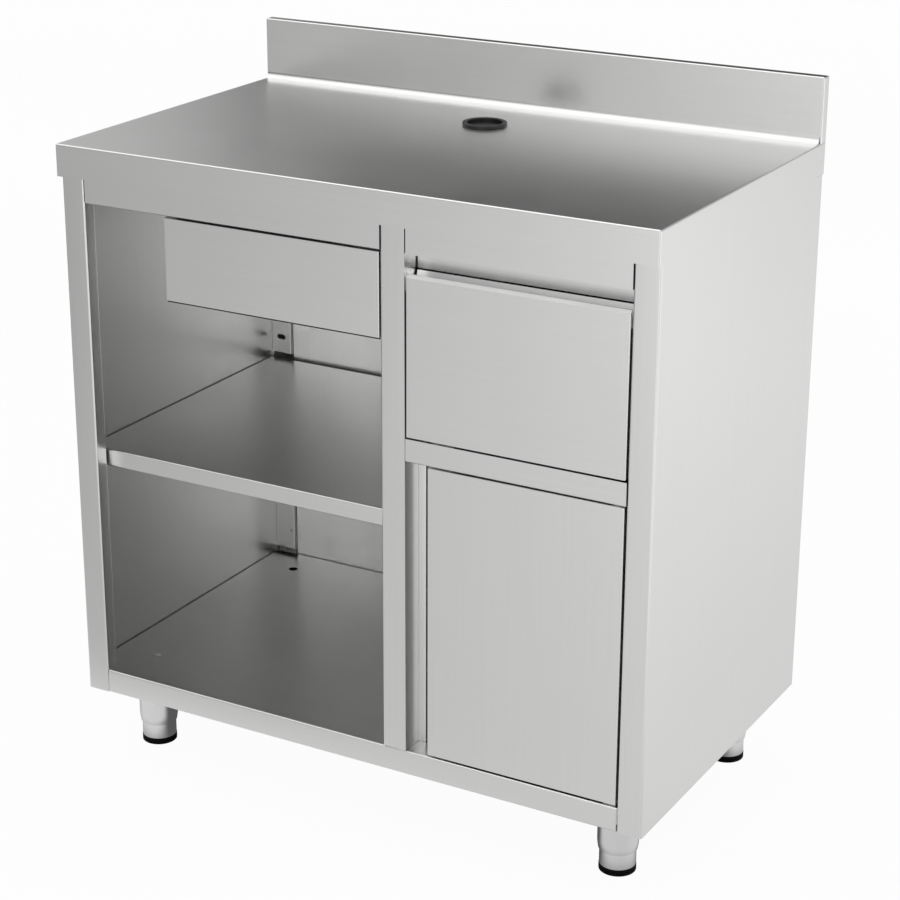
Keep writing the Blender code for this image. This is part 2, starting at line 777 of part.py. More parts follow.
def make_rails():
    left_apron = [
        (carcass_front + APRON_RETURN, apron_bottom + APRON_LIP),
        (carcass_front + APRON_RETURN, apron_bottom),
        (carcass_front, apron_bottom),
        (carcass_front, carcass_top),
    ]
    right_apron = [
        (carcass_front + FINGER_RECESS, apron_bottom - RECESS_PLATE_DROP),
        (carcass_front + FINGER_RECESS, apron_bottom),
        (carcass_front, apron_bottom, SHARP),
        (carcass_front, carcass_top),
    ]
    mid_rail = [
        (carcass_front + MID_RAIL_RETURN, mid_rail_bottom),
        (carcass_front, mid_rail_bottom),
        (carcass_front, mid_rail_top),
    ]
    left_bay = (-post_inner + APRON_LEFT_GAP, mid_left - SEAM_GAP)
    right_bay = (mid_right + APRON_LEFT_GAP, post_inner - SEAM_GAP)
    rail_span = (mid_right + SEAM_GAP, post_inner - SEAM_GAP)
    place(folded_sheet("left_apron", left_apron, ALONG_X, *left_bay), brushed_steel)
    place(folded_sheet("right_apron", right_apron, ALONG_X, *right_bay), brushed_steel)
    place(folded_sheet("mid_rail", mid_rail, ALONG_X, *rail_span), brushed_steel)


make_mid_post()
make_divider()
make_rails()


# Middle shelf of the left bay, on an angle at each end


def make_middle_shelf():
    shelf_front = carcass_front + SHELF_SETBACK
    shelf_back = rear_post_front - SHELF_BACK_GAP
    fold_end = shelf_top - SHELF_FOLD
    path = [
        (shelf_front + SHELF_RETURN, fold_end),
        (shelf_front, fold_end),
        (shelf_front, shelf_top),
        (shelf_back, shelf_top),
        (shelf_back, fold_end),
    ]
    left_end = -side_inner + SHELF_LEFT_GAP
    right_end = divider_x - SHELF_SIDE_GAP
    shelf = folded_sheet("middle_shelf", path, ALONG_X, left_end, right_end)
    corner = SHEET + BEND_RADIUS
    left_fold = block(
        "middle_shelf_left_fold",
        (left_end + JOIN_STEP, shelf_front + corner, fold_end + JOIN_STEP),
        (left_end + SHEET, shelf_back - corner, shelf_top - SHEET / 2),
    )
    combine(shelf, as_cutter(left_fold), "UNION")
    post_relief = block(
        "middle_shelf_right_relief",
        (mid_left - SHELF_SIDE_GAP, shelf_front - OVERCUT, fold_end - OVERCUT),
        (
            right_end + OVERCUT,
            max(carcass_front + MID_POST_DEPTH, shelf_front + SHELF_RETURN) + SEAM_GAP,
            shelf_top + OVERCUT,
        ),
    )
    combine(shelf, as_cutter(post_relief), "DIFFERENCE")
    place(shelf, brushed_steel)

    top = shelf_top - SHEET - SEAT_GAP
    low_top = fold_end - SEAT_GAP
    wall = side_inner - SEAT_GAP
    left_angle = [(-wall, low_top - BRACKET_LEG), (-wall, low_top), (-wall + BRACKET_LEG, low_top)]
    face = divider_x - SEAT_GAP
    right_angle = [(face - BRACKET_LEG, top), (face, top), (face, top - BRACKET_LEG)]
    near = shelf_front + BRACKET_END_GAP
    far = shelf_back - BRACKET_END_GAP
    for name, path in (("shelf_left_bracket", left_angle), ("shelf_right_bracket", right_angle)):
        place(folded_sheet(name, path, ALONG_Y, near, far), brushed_steel)


make_middle_shelf()


# Legs: a sleeve bolted under the bottom shelf, a foot that screws out of it and a plastic pad


def make_leg(place_name, at):
    sleeve_top = floor_top - SHEET - SEAT_GAP
    flange_under = sleeve_top - SLEEVE_FLANGE_THICKNESS
    bore = SLEEVE_RADIUS - SLEEVE_WALL
    mouth = FOOT_RADIUS + RUN_GAP
    lip = mouth + SLEEVE_LIP
    taper = SLEEVE_TAPER_TOP - SLEEVE_MOUTH
    inside_taper = SLEEVE_TAPER_TOP + SLEEVE_WALL
    sleeve = [
        (SLEEVE_TOP_HOLE_RADIUS, sleeve_top),
        (SLEEVE_FLANGE_RADIUS, sleeve_top),
        (SLEEVE_FLANGE_RADIUS, flange_under),
        (SLEEVE_RADIUS, flange_under),
        (SLEEVE_RADIUS, SLEEVE_TAPER_TOP),
        ((SLEEVE_RADIUS * 3 + lip) / 4, SLEEVE_MOUTH + taper * 0.45),
        (lip, SLEEVE_MOUTH),
        (mouth, SLEEVE_MOUTH),
        (mouth, SLEEVE_TAPER_TOP),
        (bore, inside_taper),
        (bore, flange_under),
        (SLEEVE_TOP_HOLE_RADIUS, flange_under),
    ]
    place(turned(f"leg_sleeve_{place_name}", sleeve, (*at, 0.0), closed=True), brushed_steel)

    foot_bottom = PAD_HEIGHT + SEAT_GAP
    foot_top = SLEEVE_MOUTH + FOOT_INSERT
    foot_bore = FOOT_RADIUS - FOOT_WALL
    rim = FOOT_CHAMFER
    foot = [
        (0.0, foot_top),
        (FOOT_RADIUS - rim, foot_top),
        (FOOT_RADIUS, foot_top - rim),
        (FOOT_RADIUS, foot_bottom + rim),
        (FOOT_RADIUS - rim, foot_bottom),
        (foot_bore, foot_bottom),
        (foot_bore, foot_top - FOOT_WALL),
        (0.0, foot_top - FOOT_WALL),
    ]
    plug = foot_bore - SEAT_GAP
    pad = [
        (0.0, PAD_HEIGHT + PAD_PLUG_HEIGHT),
        (plug, PAD_HEIGHT + PAD_PLUG_HEIGHT),
        (plug, PAD_HEIGHT),
        (PAD_RADIUS, PAD_HEIGHT),
        *arc(
            (PAD_RADIUS - PAD_EDGE_RADIUS, PAD_EDGE_RADIUS), PAD_EDGE_RADIUS, 0.0, -math.pi / 2
        ),
        (0.0, 0.0),
    ]
    place(turned(f"foot_{place_name}", foot, (*at, 0.0)), brushed_steel)
    place(turned(f"foot_pad_{place_name}", pad, (*at, 0.0)), black_plastic)


for leg_name, (leg_side, leg_y) in legs.items():
    make_leg(leg_name, (leg_side * leg_x, leg_y))


# Drawers: a channel fixed on each side and a slide on the box that runs inside it


def make_runner_pair(name, back_x, side, box_x, bottom, near, far, slide_far):
    """The fixed rail stands against back_x and opens towards the box, where the slide is fixed."""
    top = bottom + RUNNER_HEIGHT
    tip = back_x + side * RUNNER_DEPTH
    rail = [(tip, bottom), (back_x, bottom), (back_x, top), (tip, top)]
    slide_back = back_x + side * (SHEET + RUN_GAP)
    slide_tip = box_x - side * SEAT_GAP
    slide_bottom = bottom + SHEET + RUN_GAP
    slide_top = top - SHEET - RUN_GAP
    slide = [
        (slide_tip, slide_bottom),
        (slide_back, slide_bottom),
        (slide_back, slide_top),
        (slide_tip, slide_top),
    ]
    if side < 0:
        rail.reverse()
        slide.reverse()
    place(folded_sheet(name + "_rail", rail, ALONG_Y, near, far), zinc_steel)
    return place(folded_sheet(name + "_slide", slide, ALONG_Y, near, slide_far), zinc_steel)


def make_drawer_front(name, left, right, outline, hollow_outline, box_low, box_high):
    """A hollow folded front, whose open back the front wall of the drawer's box covers."""
    panel = extrusion(name, outline, ALONG_X, left, right)
    # The outline's -x is the counter's front, and its length runs along the outline's z
    upright_bends = [frozenset(("-x", "-z")), frozenset(("-x", "+z"))]
    round_edges(panel, FRONT_EDGE_RADIUS, upright_bends)
    hollow = extrusion(name + "_hollow", hollow_outline, ALONG_X, left + SHEET, right - SHEET)
    front_back = carcass_front + FRONT_THICKNESS
    opening = block(
        name + "_opening",
        (box_low[0] + FRONT_OPENING_MARGIN, front_back - 2 * SHEET, box_low[1] + FRONT_OPENING_MARGIN),
        (box_high[0] - FRONT_OPENING_MARGIN, front_back + OVERCUT, box_high[1] - FRONT_OPENING_MARGIN),
    )
    combine(panel, as_cutter(hollow), "DIFFERENCE")
    combine(panel, as_cutter(opening), "DIFFERENCE")
    return place(panel, brushed_steel)


def make_hung_drawer():
    right = mid_left - HUNG_SIDE_GAP
    left = right - HUNG_FRONT_WIDTH
    top = apron_bottom - HUNG_TOP_GAP
    bottom = top - HUNG_FRONT_HEIGHT
    front_back = carcass_front + FRONT_THICKNESS
    left_web = left + HANGER_INSET
    right_web = right - HANGER_INSET
    left_rail = left_web + SHEET + SEAT_GAP
    right_rail = right_web - SHEET - SEAT_GAP
    box_left = left_rail + runner_space
    box_right = right_rail - runner_space
    box_front = front_back + SEAT_GAP
    box_back = back_panel_front - BOX_BACK_CLEARANCE
    box_floor = bottom + HUNG_BOX_ABOVE_FRONT_BOTTOM
    box_rim = box_floor + HUNG_BOX_HEIGHT
    box = tray(
        "hung_drawer_box", (box_left, box_front, box_floor), (box_right, box_back, box_rim), "+z"
    )
    place(box, brushed_steel)
    # The lower edge is bevelled back for the fingers
    bevel = HUNG_BOTTOM_BEVEL
    slant = SHEET * math.tan(math.pi / 8)
    outline = [
        (carcass_front, top),
        (carcass_front, bottom + bevel),
        (carcass_front + bevel, bottom),
        (front_back, bottom),
        (front_back, top),
    ]
    hollow_outline = [
        (carcass_front + SHEET, top - SHEET),
        (carcass_front + SHEET, bottom + bevel + slant),
        (carcass_front + bevel + slant, bottom + SHEET),
        (front_back - SHEET, bottom + SHEET),
        (front_back - SHEET, top - SHEET),
    ]
    panel = make_drawer_front(
        "hung_drawer_front",
        left,
        right,
        outline,
        hollow_outline,
        (box_left, box_floor),
        (box_right, box_rim),
    )

    runner_bottom = box_floor + RUNNER_ABOVE_BOX_FLOOR
    near = front_back + RUNNER_FRONT_GAP
    left_slide = make_runner_pair(
        "hung_drawer_left", left_rail, 1, box_left, runner_bottom, near, box_back, box_back
    )
    right_slide = make_runner_pair(
        "hung_drawer_right", right_rail, -1, box_right, runner_bottom, near, box_back, box_back
    )
    hanger_top = stiffener_bottom - SHEET - SEAT_GAP
    left_hanger = [
        (left_web, runner_bottom),
        (left_web, hanger_top),
        (left_web + HANGER_FLANGE, hanger_top),
    ]
    right_hanger = [
        (right_web - HANGER_FLANGE, hanger_top),
        (right_web, hanger_top),
        (right_web, runner_bottom),
    ]
    for name, path in (("left", left_hanger), ("right", right_hanger)):
        hanger = folded_sheet(f"hung_drawer_{name}_hanger", path, ALONG_Y, near, box_back)
        place(hanger, brushed_steel)
    middle = ((left + right) / 2, carcass_front, (top + bottom) / 2)
    carry(axis_empty("hung_drawer_slide_axis", middle), panel, box, left_slide, right_slide)


def make_deep_drawer():
    left = mid_right + DRAWER_LEFT_GAP
    right = post_inner - DRAWER_RIGHT_GAP
    front_back = carcass_front + FRONT_THICKNESS
    channel_back = carcass_front + CHANNEL_DEPTH
    channel_floor = drawer_top - CHANNEL_DROP
    channel_top = apron_bottom - RECESS_PLATE_DROP - CHANNEL_GAP
    lip = carcass_front + DRAWER_TOP_BEVEL
    lip_back = lip + SHEET
    channel_path = [
        (channel_back, channel_top),
        (channel_back - CHANNEL_LEAN, channel_floor),
        (lip_back + SEAT_GAP, channel_floor),
        (lip_back + SEAT_GAP, channel_floor + CHANNEL_FLANGE),
    ]
    channel = folded_sheet("deep_drawer_finger_channel", channel_path, ALONG_X, left, right)
    place(channel, brushed_steel)

    left_rail = mid_right + RUNNER_POST_GAP
    right_rail = post_inner - RUNNER_POST_GAP
    box_left = left_rail + runner_space
    box_right = right_rail - runner_space
    box_front = front_back + SEAT_GAP
    box_back = back_panel_front - BOX_BACK_CLEARANCE
    box_floor = drawer_bottom + DRAWER_BOX_ABOVE_FRONT_BOTTOM
    box_rim = channel_floor - SEAT_GAP
    box = tray(
        "deep_drawer_box", (box_left, box_front, box_floor), (box_right, box_back, box_rim), "+z"
    )
    place(box, brushed_steel)
    # The top edge is bevelled up to a lip, and the channel stands on the ledge behind it
    bevel_foot = drawer_top - DRAWER_TOP_BEVEL
    ledge = channel_floor - SEAT_GAP
    slant = SHEET * math.tan(math.pi / 8)
    outline = [
        (carcass_front, bevel_foot),
        (carcass_front, drawer_bottom),
        (front_back, drawer_bottom),
        (front_back, ledge),
        (lip_back, ledge),
        (lip_back, drawer_top),
        (lip, drawer_top),
    ]
    hollow_outline = [
        (carcass_front + SHEET, bevel_foot - slant),
        (carcass_front + SHEET, drawer_bottom + SHEET),
        (front_back - SHEET, drawer_bottom + SHEET),
        (front_back - SHEET, ledge - SHEET),
        (lip, ledge - SHEET),
        (lip, drawer_top - SHEET - slant),
    ]
    panel = make_drawer_front(
        "deep_drawer_front",
        left,
        right,
        outline,
        hollow_outline,
        (box_left, box_floor),
        (box_right, box_rim),
    )

    runner_bottom = box_floor + RUNNER_ABOVE_BOX_FLOOR
    near = max(carcass_front + MID_POST_DEPTH, box_front) + RUNNER_FRONT_GAP
    left_slide = make_runner_pair(
        "deep_drawer_left", left_rail, 1, box_left, runner_bottom, near, box_back, box_back
    )
    right_slide = make_runner_pair(
        "deep_drawer_right", right_rail, -1, box_right, runner_bottom, near, box_back, box_back
    )
    low = runner_bottom + RUNNER_HEIGHT / 2 - SPACER_HEIGHT / 2
    high = low + SPACER_HEIGHT
    left_wall = divider_x + SHEET + SEAT_GAP
    right_wall = side_inner - SEAT_GAP
    left_face = left_rail - SEAT_GAP - SHEET
    right_face = right_rail + SEAT_GAP + SHEET
    left_spacer = [
        (left_wall, low),
        (left_wall, low + SPACER_FOOT),
        (left_face, low + SPACER_FOOT),
        (left_face, high - SPACER_FOOT),
        (left_wall, high - SPACER_FOOT),
        (left_wall, high),
    ]
    right_spacer = [
        (right_wall, high),
        (right_wall, high - SPACER_FOOT),
        (right_face, high - SPACER_FOOT),
        (right_face, low + SPACER_FOOT),
        (right_wall, low + SPACER_FOOT),
        (right_wall, low),
    ]
    for name, path in (("left", left_spacer), ("right", right_spacer)):
        spacer = folded_sheet(f"deep_drawer_{name}_spacer", path, ALONG_Y, near, box_back)
        place(spacer, zinc_steel)

    bar_y = box_front + KNOCK_BAR_FROM_BOX_FRONT
    bar_z = box_rim - KNOCK_BAR_BELOW_RIM
    bar_end = SHEET + SEAT_GAP
    bar_half = (box_right - box_left) / 2 - bar_end
    sleeve_half = bar_half - KNOCK_SLEEVE_MARGIN
    bore = KNOCK_BAR_RADIUS + SEAT_GAP
    edge = KNOCK_SLEEVE_CHAMFER
    bar = turned(
        "knock_bar",
        [(0.0, bar_half), (KNOCK_BAR_RADIUS, bar_half), (KNOCK_BAR_RADIUS, -bar_half), (0.0, -bar_half)],
        ((box_left + box_right) / 2, bar_y, bar_z),
    )
    sleeve = turned(
        "knock_bar_sleeve",
        [
            (bore, sleeve_half),
            (KNOCK_SLEEVE_RADIUS - edge, sleeve_half),
            (KNOCK_SLEEVE_RADIUS, sleeve_half - edge),
            (KNOCK_SLEEVE_RADIUS, edge - sleeve_half),
            (KNOCK_SLEEVE_RADIUS - edge, -sleeve_half),
            (bore, -sleeve_half),
        ],
        bar.location,
        closed=True,
    )
    for piece, material in ((bar, brushed_steel), (sleeve, black_rubber)):
        piece.rotation_euler = (0.0, math.pi / 2, 0.0)
        place(piece, material)
    middle = ((left + right) / 2, carcass_front, (drawer_top + drawer_bottom) / 2)
    axis = axis_empty("deep_drawer_slide_axis", middle)
    carry(axis, panel, channel, box, left_slide, right_slide, bar, sleeve)


make_hung_drawer()
make_deep_drawer()


# Door: a folded skin closed by an inner panel, on a pin at its top and bottom right


def make_bush(name, at, face, wall_outside, inward):
    """A nylon bush through the door's edge: its collar lies behind the wall, its face on the pivot plate."""
    bore = PIN_RADIUS + RUN_GAP
    collar_face = wall_outside + inward * (SHEET + SEAT_GAP)
    collar_end = collar_face + inward * BUSH_COLLAR_THICKNESS
    tip = wall_outside + inward * BUSH_LENGTH
    profile = [
        (bore, face),
        (BUSH_RADIUS, face),
        (BUSH_RADIUS, collar_face),
        (BUSH_COLLAR_RADIUS, collar_face),
        (BUSH_COLLAR_RADIUS, collar_end),
        (BUSH_RADIUS, collar_end),
        (BUSH_RADIUS, tip),
        (bore, tip),
    ]
    if inward > 0:
        profile.reverse()
    return place(turned(name, profile, (*at, 0.0), closed=True), white_nylon)


def make_pivot(name, at, seat, outward):
    """A pin on a small plate, fixed to the rail above the door or to the bottom shelf below it."""
    plate_seat = seat + outward * SEAT_GAP
    plate_face = plate_seat + outward * PIVOT_PLATE_THICKNESS
    pin_end = plate_face + outward * PIN_LENGTH
    low, high = sorted((plate_seat, plate_face))
    plate = block(
        name,
        (at[0] - PIVOT_PLATE_LENGTH / 2, at[1] - PIVOT_PLATE_LEAD, low),
        (at[0] + PIVOT_PLATE_LENGTH / 2, at[1] - PIVOT_PLATE_LEAD + PIVOT_PLATE_WIDTH, high),
    )
    root = plate_face - outward * PIVOT_PLATE_THICKNESS / 2
    bottom, top = sorted((root, pin_end))
    pin = drill(name + "_pin", at, PIN_RADIUS, bottom, top)
    combine(plate, pin, "UNION")
    place(plate, zinc_steel)


def make_door():
    left = mid_right + DOOR_FINGER_GAP
    right = post_inner - DOOR_RIGHT_GAP
    bottom = floor_top + DOOR_BOTTOM_GAP
    top = mid_rail_bottom - DOOR_TOP_GAP
    door_back = carcass_front + DOOR_THICKNESS
    pivot = (right - PIVOT_FROM_EDGE, carcass_front + PIVOT_FROM_FACE)
    skin = tray("door_skin", (left, carcass_front, bottom), (right, door_back, top), "+y")
    hole_radius = BUSH_RADIUS + SEAT_GAP
    for name, level in (("bottom", bottom), ("top", top)):
        hole = drill(f"door_{name}_bush_hole", pivot, hole_radius, level - OVERCUT, level + OVERCUT)
        combine(skin, hole, "DIFFERENCE")
    place(skin, brushed_steel)

    rim = SHEET + SEAT_GAP
    inner = block(
        "door_inner_panel",
        (left + rim, door_back - SHEET, bottom + rim),
        (right - rim, door_back, top - rim),
    )
    place(inner, brushed_steel)
    plate_space = SEAT_GAP + PIVOT_PLATE_THICKNESS + SEAT_GAP
    top_bush = make_bush("door_top_bush", pivot, mid_rail_bottom - plate_space, top, -1)
    bottom_bush = make_bush("door_bottom_bush", pivot, floor_top + plate_space, bottom, 1)
    make_pivot("door_top_pivot", pivot, mid_rail_bottom, -1)
    make_pivot("door_bottom_pivot", pivot, floor_top, 1)

    stop_face = carcass_front + MID_POST_DEPTH + SEAT_GAP
    stop_left = divider_x + SHEET + BEND_RADIUS + SEAT_GAP
    stop_right = mid_right + STOP_REACH
    grip_right = mid_right + STOP_GRIP_WIDTH
    catch_seat = stop_face + STOP_JOGGLE
    stop_path = [
        (stop_right, catch_seat + STOP_FLANGE),
        (stop_right, catch_seat),
        (grip_right, catch_seat),
        (grip_right, stop_face),
        (stop_left, stop_face),
        (stop_left, stop_face + STOP_FLANGE),
    ]
    stop_bottom = floor_top + SEAT_GAP
    stop = folded_sheet(
        "door_stop_strip", stop_path, ALONG_Z, stop_bottom, mid_rail_bottom + STOP_BEHIND_RAIL
    )
    # Cut away over the flange at the divider's foot
    relief = block(
        "door_stop_strip_relief",
        (stop_left - OVERCUT, stop_face - OVERCUT, stop_bottom - OVERCUT),
        (
            divider_x + DIVIDER_FLANGE + SEAM_GAP,
            catch_seat + STOP_FLANGE + OVERCUT,
            stop_bottom + SHEET + SEAT_GAP,
        ),
    )
    combine(stop, as_cutter(relief), "DIFFERENCE")
    place(stop, brushed_steel)

    catch_left = left + CATCH_FROM_DOOR_EDGE
    catch_top = top - CATCH_BELOW_DOOR_TOP
    strike_face = door_back + SEAT_GAP
    strike_back = strike_face + STRIKE_THICKNESS
    strike = block(
        "door_strike_plate",
        (catch_left, strike_face, catch_top - CATCH_HEIGHT + STRIKE_MARGIN),
        (catch_left + CATCH_WIDTH, strike_back, catch_top - STRIKE_MARGIN),
    )
    place(strike, zinc_steel)
    catch = block(
        "door_magnet_catch",
        (catch_left, strike_back + RUN_GAP, catch_top - CATCH_HEIGHT),
        (catch_left + CATCH_WIDTH, catch_seat - SEAT_GAP, catch_top),
    )
    round_edges(catch, CATCH_EDGE_RADIUS)
    place(catch, black_plastic)
    hinge = axis_empty("door_hinge_axis", (*pivot, (bottom + top) / 2))
    carry(hinge, skin, inner, top_bush, bottom_bush, strike)


make_door()
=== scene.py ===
import json
import math

import bmesh
import bpy
from mathutils import Euler, Matrix, Vector

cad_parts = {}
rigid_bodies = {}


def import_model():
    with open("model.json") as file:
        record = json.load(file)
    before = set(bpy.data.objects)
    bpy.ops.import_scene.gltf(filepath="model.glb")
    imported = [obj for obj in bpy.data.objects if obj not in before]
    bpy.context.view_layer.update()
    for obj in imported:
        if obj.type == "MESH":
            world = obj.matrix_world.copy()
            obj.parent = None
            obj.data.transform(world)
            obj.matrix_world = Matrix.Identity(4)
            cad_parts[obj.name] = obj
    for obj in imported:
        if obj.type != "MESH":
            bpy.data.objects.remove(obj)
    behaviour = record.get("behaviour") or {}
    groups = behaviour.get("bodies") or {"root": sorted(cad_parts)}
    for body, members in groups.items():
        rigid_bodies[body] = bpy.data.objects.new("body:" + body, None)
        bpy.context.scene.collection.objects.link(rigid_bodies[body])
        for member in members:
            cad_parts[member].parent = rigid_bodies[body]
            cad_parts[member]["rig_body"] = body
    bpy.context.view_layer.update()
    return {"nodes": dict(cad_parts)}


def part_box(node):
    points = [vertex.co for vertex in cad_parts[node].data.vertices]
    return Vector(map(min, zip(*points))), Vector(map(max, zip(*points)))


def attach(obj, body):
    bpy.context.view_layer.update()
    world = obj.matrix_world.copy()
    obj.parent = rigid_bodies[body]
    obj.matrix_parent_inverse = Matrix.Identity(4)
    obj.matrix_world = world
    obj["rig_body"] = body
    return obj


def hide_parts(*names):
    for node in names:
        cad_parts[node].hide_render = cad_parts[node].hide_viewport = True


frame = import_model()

scene = bpy.context.scene
scene.view_settings.view_transform = "Standard"


# Camera: a long lens at about eye height, to the right of the counter and looking down on it,
# held almost level. The shift only puts the counter where the picture frames it.

camera_data = bpy.data.cameras.new("picture_camera")
camera_data.sensor_width = 36.0
camera_data.lens = 93.47
camera_data.shift_x = 0.0202
camera_data.shift_y = -0.0150
camera = bpy.data.objects.new("picture_camera", camera_data)
camera.location = (1.7114, -3.0120, 1.8188)
look_down, roll, turn = (math.radians(a) for a in (90.0 - 20.14, -0.06, 29.85))
camera.rotation_euler = Euler((look_down, roll, turn), "XYZ")
scene.collection.objects.link(camera)
scene.camera = camera


# Studio floor: a wide sheet of matt white background paper, lying flat.
# The eye sees it as white. The steel mirrors it with the slow fall of light across the sheet,
# and dark where the counter stands over it.


def linear(code):
    """An sRGB hex colour as the linear values that Blender works with."""
    values = [int(code[i : i + 2], 16) / 255.0 for i in (1, 3, 5)]
    curve = [v / 12.92 if v <= 0.04045 else ((v + 0.055) / 1.055) ** 2.4 for v in values]
    return (*curve, 1.0)


def node(tree, kind, sockets=None, **settings):
    """Adds one shader node, with its settings, its values and the links into it."""
    added = tree.nodes.new("ShaderNode" + kind)
    for name, value in settings.items():
        setattr(added, name, value)
    for socket, value in (sockets or {}).items():
        if isinstance(value, bpy.types.NodeSocket):
            tree.links.new(value, added.inputs[socket])
        else:
            added.inputs[socket].default_value = value
    return added


paper_half = 40.0
paper_mesh = bpy.data.meshes.new("background_paper")
paper_corners = [(-1, -1), (1, -1), (1, 1), (-1, 1)]
paper_mesh.from_pydata([(x * paper_half, y * paper_half, 0.0) for x, y in paper_corners], [], [(0, 1, 2, 3)])
paper = bpy.data.objects.new("background_paper", paper_mesh)
scene.collection.objects.link(paper)

# Uncoated paper, rolled out flat: even, quite without gloss, and white to the eye.
matt_paper = bpy.data.materials.new("matt_white_background_paper")
matt_paper.use_nodes = True
tree = matt_paper.node_tree
tree.nodes.clear()
ray = node(tree, "LightPath")
place = node(tree, "NewGeometry")
spot = node(tree, "SeparateXYZ", {0: place.outputs["Position"]})
# Light falls off to the front left, along lines that run under the counter's front
fall_slope = -0.585
across = node(
    tree, "Math", {0: spot.outputs["Y"], 1: fall_slope, 2: spot.outputs["X"]}, operation="MULTIPLY_ADD"
)
fall = node(
    tree, "MapRange",
    {"Value": across.outputs[0], "From Min": -1.5, "From Max": 1.5, "To Min": 0.290, "To Max": 0.742},
)
# It rises a little towards the back, beside the counter and at the far right
rear = node(
    tree, "MapRange",
    {"Value": spot.outputs["Y"], "From Min": -0.5, "From Max": 2.2, "To Min": 0.0, "To Max": 0.20},
)
beside = node(
    tree, "MapRange",
    {"Value": spot.outputs["Y"], "From Min": -0.30, "From Max": 0.10, "To Min": 0.0, "To Max": 0.055},
    interpolation_type="SMOOTHSTEP",
)
far_right = node(
    tree, "MapRange",
    {"Value": across.outputs[0], "From Min": 1.2, "From Max": 1.8, "To Min": 0.0, "To Max": 0.15},
    interpolation_type="SMOOTHSTEP",
)
open_floor = fall
for rise in (rear, beside, far_right):
    open_floor = node(tree, "Math", {0: open_floor.outputs[0], 1: rise.outputs[0]}, operation="ADD")
# A strip along the counter's front, which only the feet mirror, is lit more evenly
strip_in_front = 0.36
from_strip = node(tree, "Math", {0: spot.outputs["Y"], 1: strip_in_front}, operation="ADD")
from_strip = node(tree, "Math", {0: from_strip.outputs[0]}, operation="ABSOLUTE")
strip = node(
    tree, "MapRange",
    {"Value": from_strip.outputs[0], "From Min": 0.08, "From Max": 0.20, "To Min": 1.0, "To Max": 0.0},
    interpolation_type="SMOOTHSTEP",
)
strip_level = node(
    tree, "MapRange",
    {"Value": spot.outputs["X"], "From Min": -0.5, "From Max": 0.5, "To Min": 0.69, "To Max": 0.60},
)
open_floor = node(
    tree, "Mix",
    {"Factor": strip.outputs[0], "A": open_floor.outputs[0], "B": strip_level.outputs[0]},
    data_type="FLOAT",
)
# The counter's own footprint, where little light reaches the paper
footprint_level = 0.10
from_middle_x = node(tree, "Math", {0: spot.outputs["X"]}, operation="ABSOLUTE")
from_middle_y = node(tree, "Math", {0: spot.outputs["Y"]}, operation="ABSOLUTE")
under_x = node(
    tree, "MapRange",
    {"Value": from_middle_x.outputs[0], "From Min": 0.42, "From Max": 0.50, "To Min": 1.0, "To Max": 0.0},
    interpolation_type="SMOOTHSTEP",
)
under_y = node(
    tree, "MapRange",
    {"Value": from_middle_y.outputs[0], "From Min": 0.20, "From Max": 0.28, "To Min": 1.0, "To Max": 0.0},
    interpolation_type="SMOOTHSTEP",
)
under = node(tree, "Math", {0: under_x.outputs[0], 1: under_y.outputs[0]}, operation="MULTIPLY")
mirrored = node(
    tree, "Mix",
    {"Factor": under.outputs[0], "A": open_floor.outputs[0], "B": footprint_level},
    data_type="FLOAT",
)
level = node(
    tree, "Mix",
    {"Factor": ray.outputs["Is Camera Ray"], "A": mirrored.outputs[0], "B": 1.0},
    data_type="FLOAT",
)
seen = node(
    tree, "Math", {0: ray.outputs["Is Camera Ray"], 1: ray.outputs["Is Glossy Ray"]}, operation="MAXIMUM"
)
seen = node(tree, "Math", {0: seen.outputs[0], 1: ray.outputs["Is Transmission Ray"]}, operation="MAXIMUM")
# The rest of the paper's share is plain matt paper, which takes the counter's shadow
lit_share = 0.96
share = node(tree, "Math", {0: seen.outputs[0], 1: lit_share}, operation="MULTIPLY")
white = node(tree, "Emission", {"Color": linear("#FFFFFF"), "Strength": level.outputs[0]})
matt = node(tree, "BsdfDiffuse", {"Color": linear("#F6F6F6")})
mixed = node(tree, "MixShader", {0: share.outputs[0], 1: matt.outputs[0], 2: white.outputs[0]})
node(tree, "OutputMaterial", {"Surface": mixed.outputs[0]})
paper_mesh.materials.append(matt_paper)


# Studio light: a white tent round the counter, brightest overhead, with one cloth behind the camera and
# one behind the counter. Lamps behind the front cloth light it in patches, and the rear one is lit only
# at its left end, which the worktop mirrors.

tent = bpy.data.worlds.new("white_light_tent")
scene.world = tent
tent.use_nodes = True
tree = tent.node_tree
tree.nodes.clear()
ray = node(tree, "LightPath")
sky = node(tree, "TexCoord")
towards = node(tree, "SeparateXYZ", {0: sky.outputs["Generated"]})
# The walls are brighter to the right, and fall off at the back
side_light = node(
    tree, "MapRange",
    {"Value": towards.outputs["X"], "From Min": -0.8, "From Max": 0.6, "To Min": 0.53, "To Max": 0.87},
)
rear_fall = node(
    tree, "MapRange",
    {"Value": towards.outputs["Y"], "From Min": 0.40, "From Max": 0.80, "To Min": 1.0, "To Max": 0.50},
    interpolation_type="SMOOTHSTEP",
)
round_light = node(tree, "Math", {0: side_light.outputs[0], 1: rear_fall.outputs[0]}, operation="MULTIPLY")
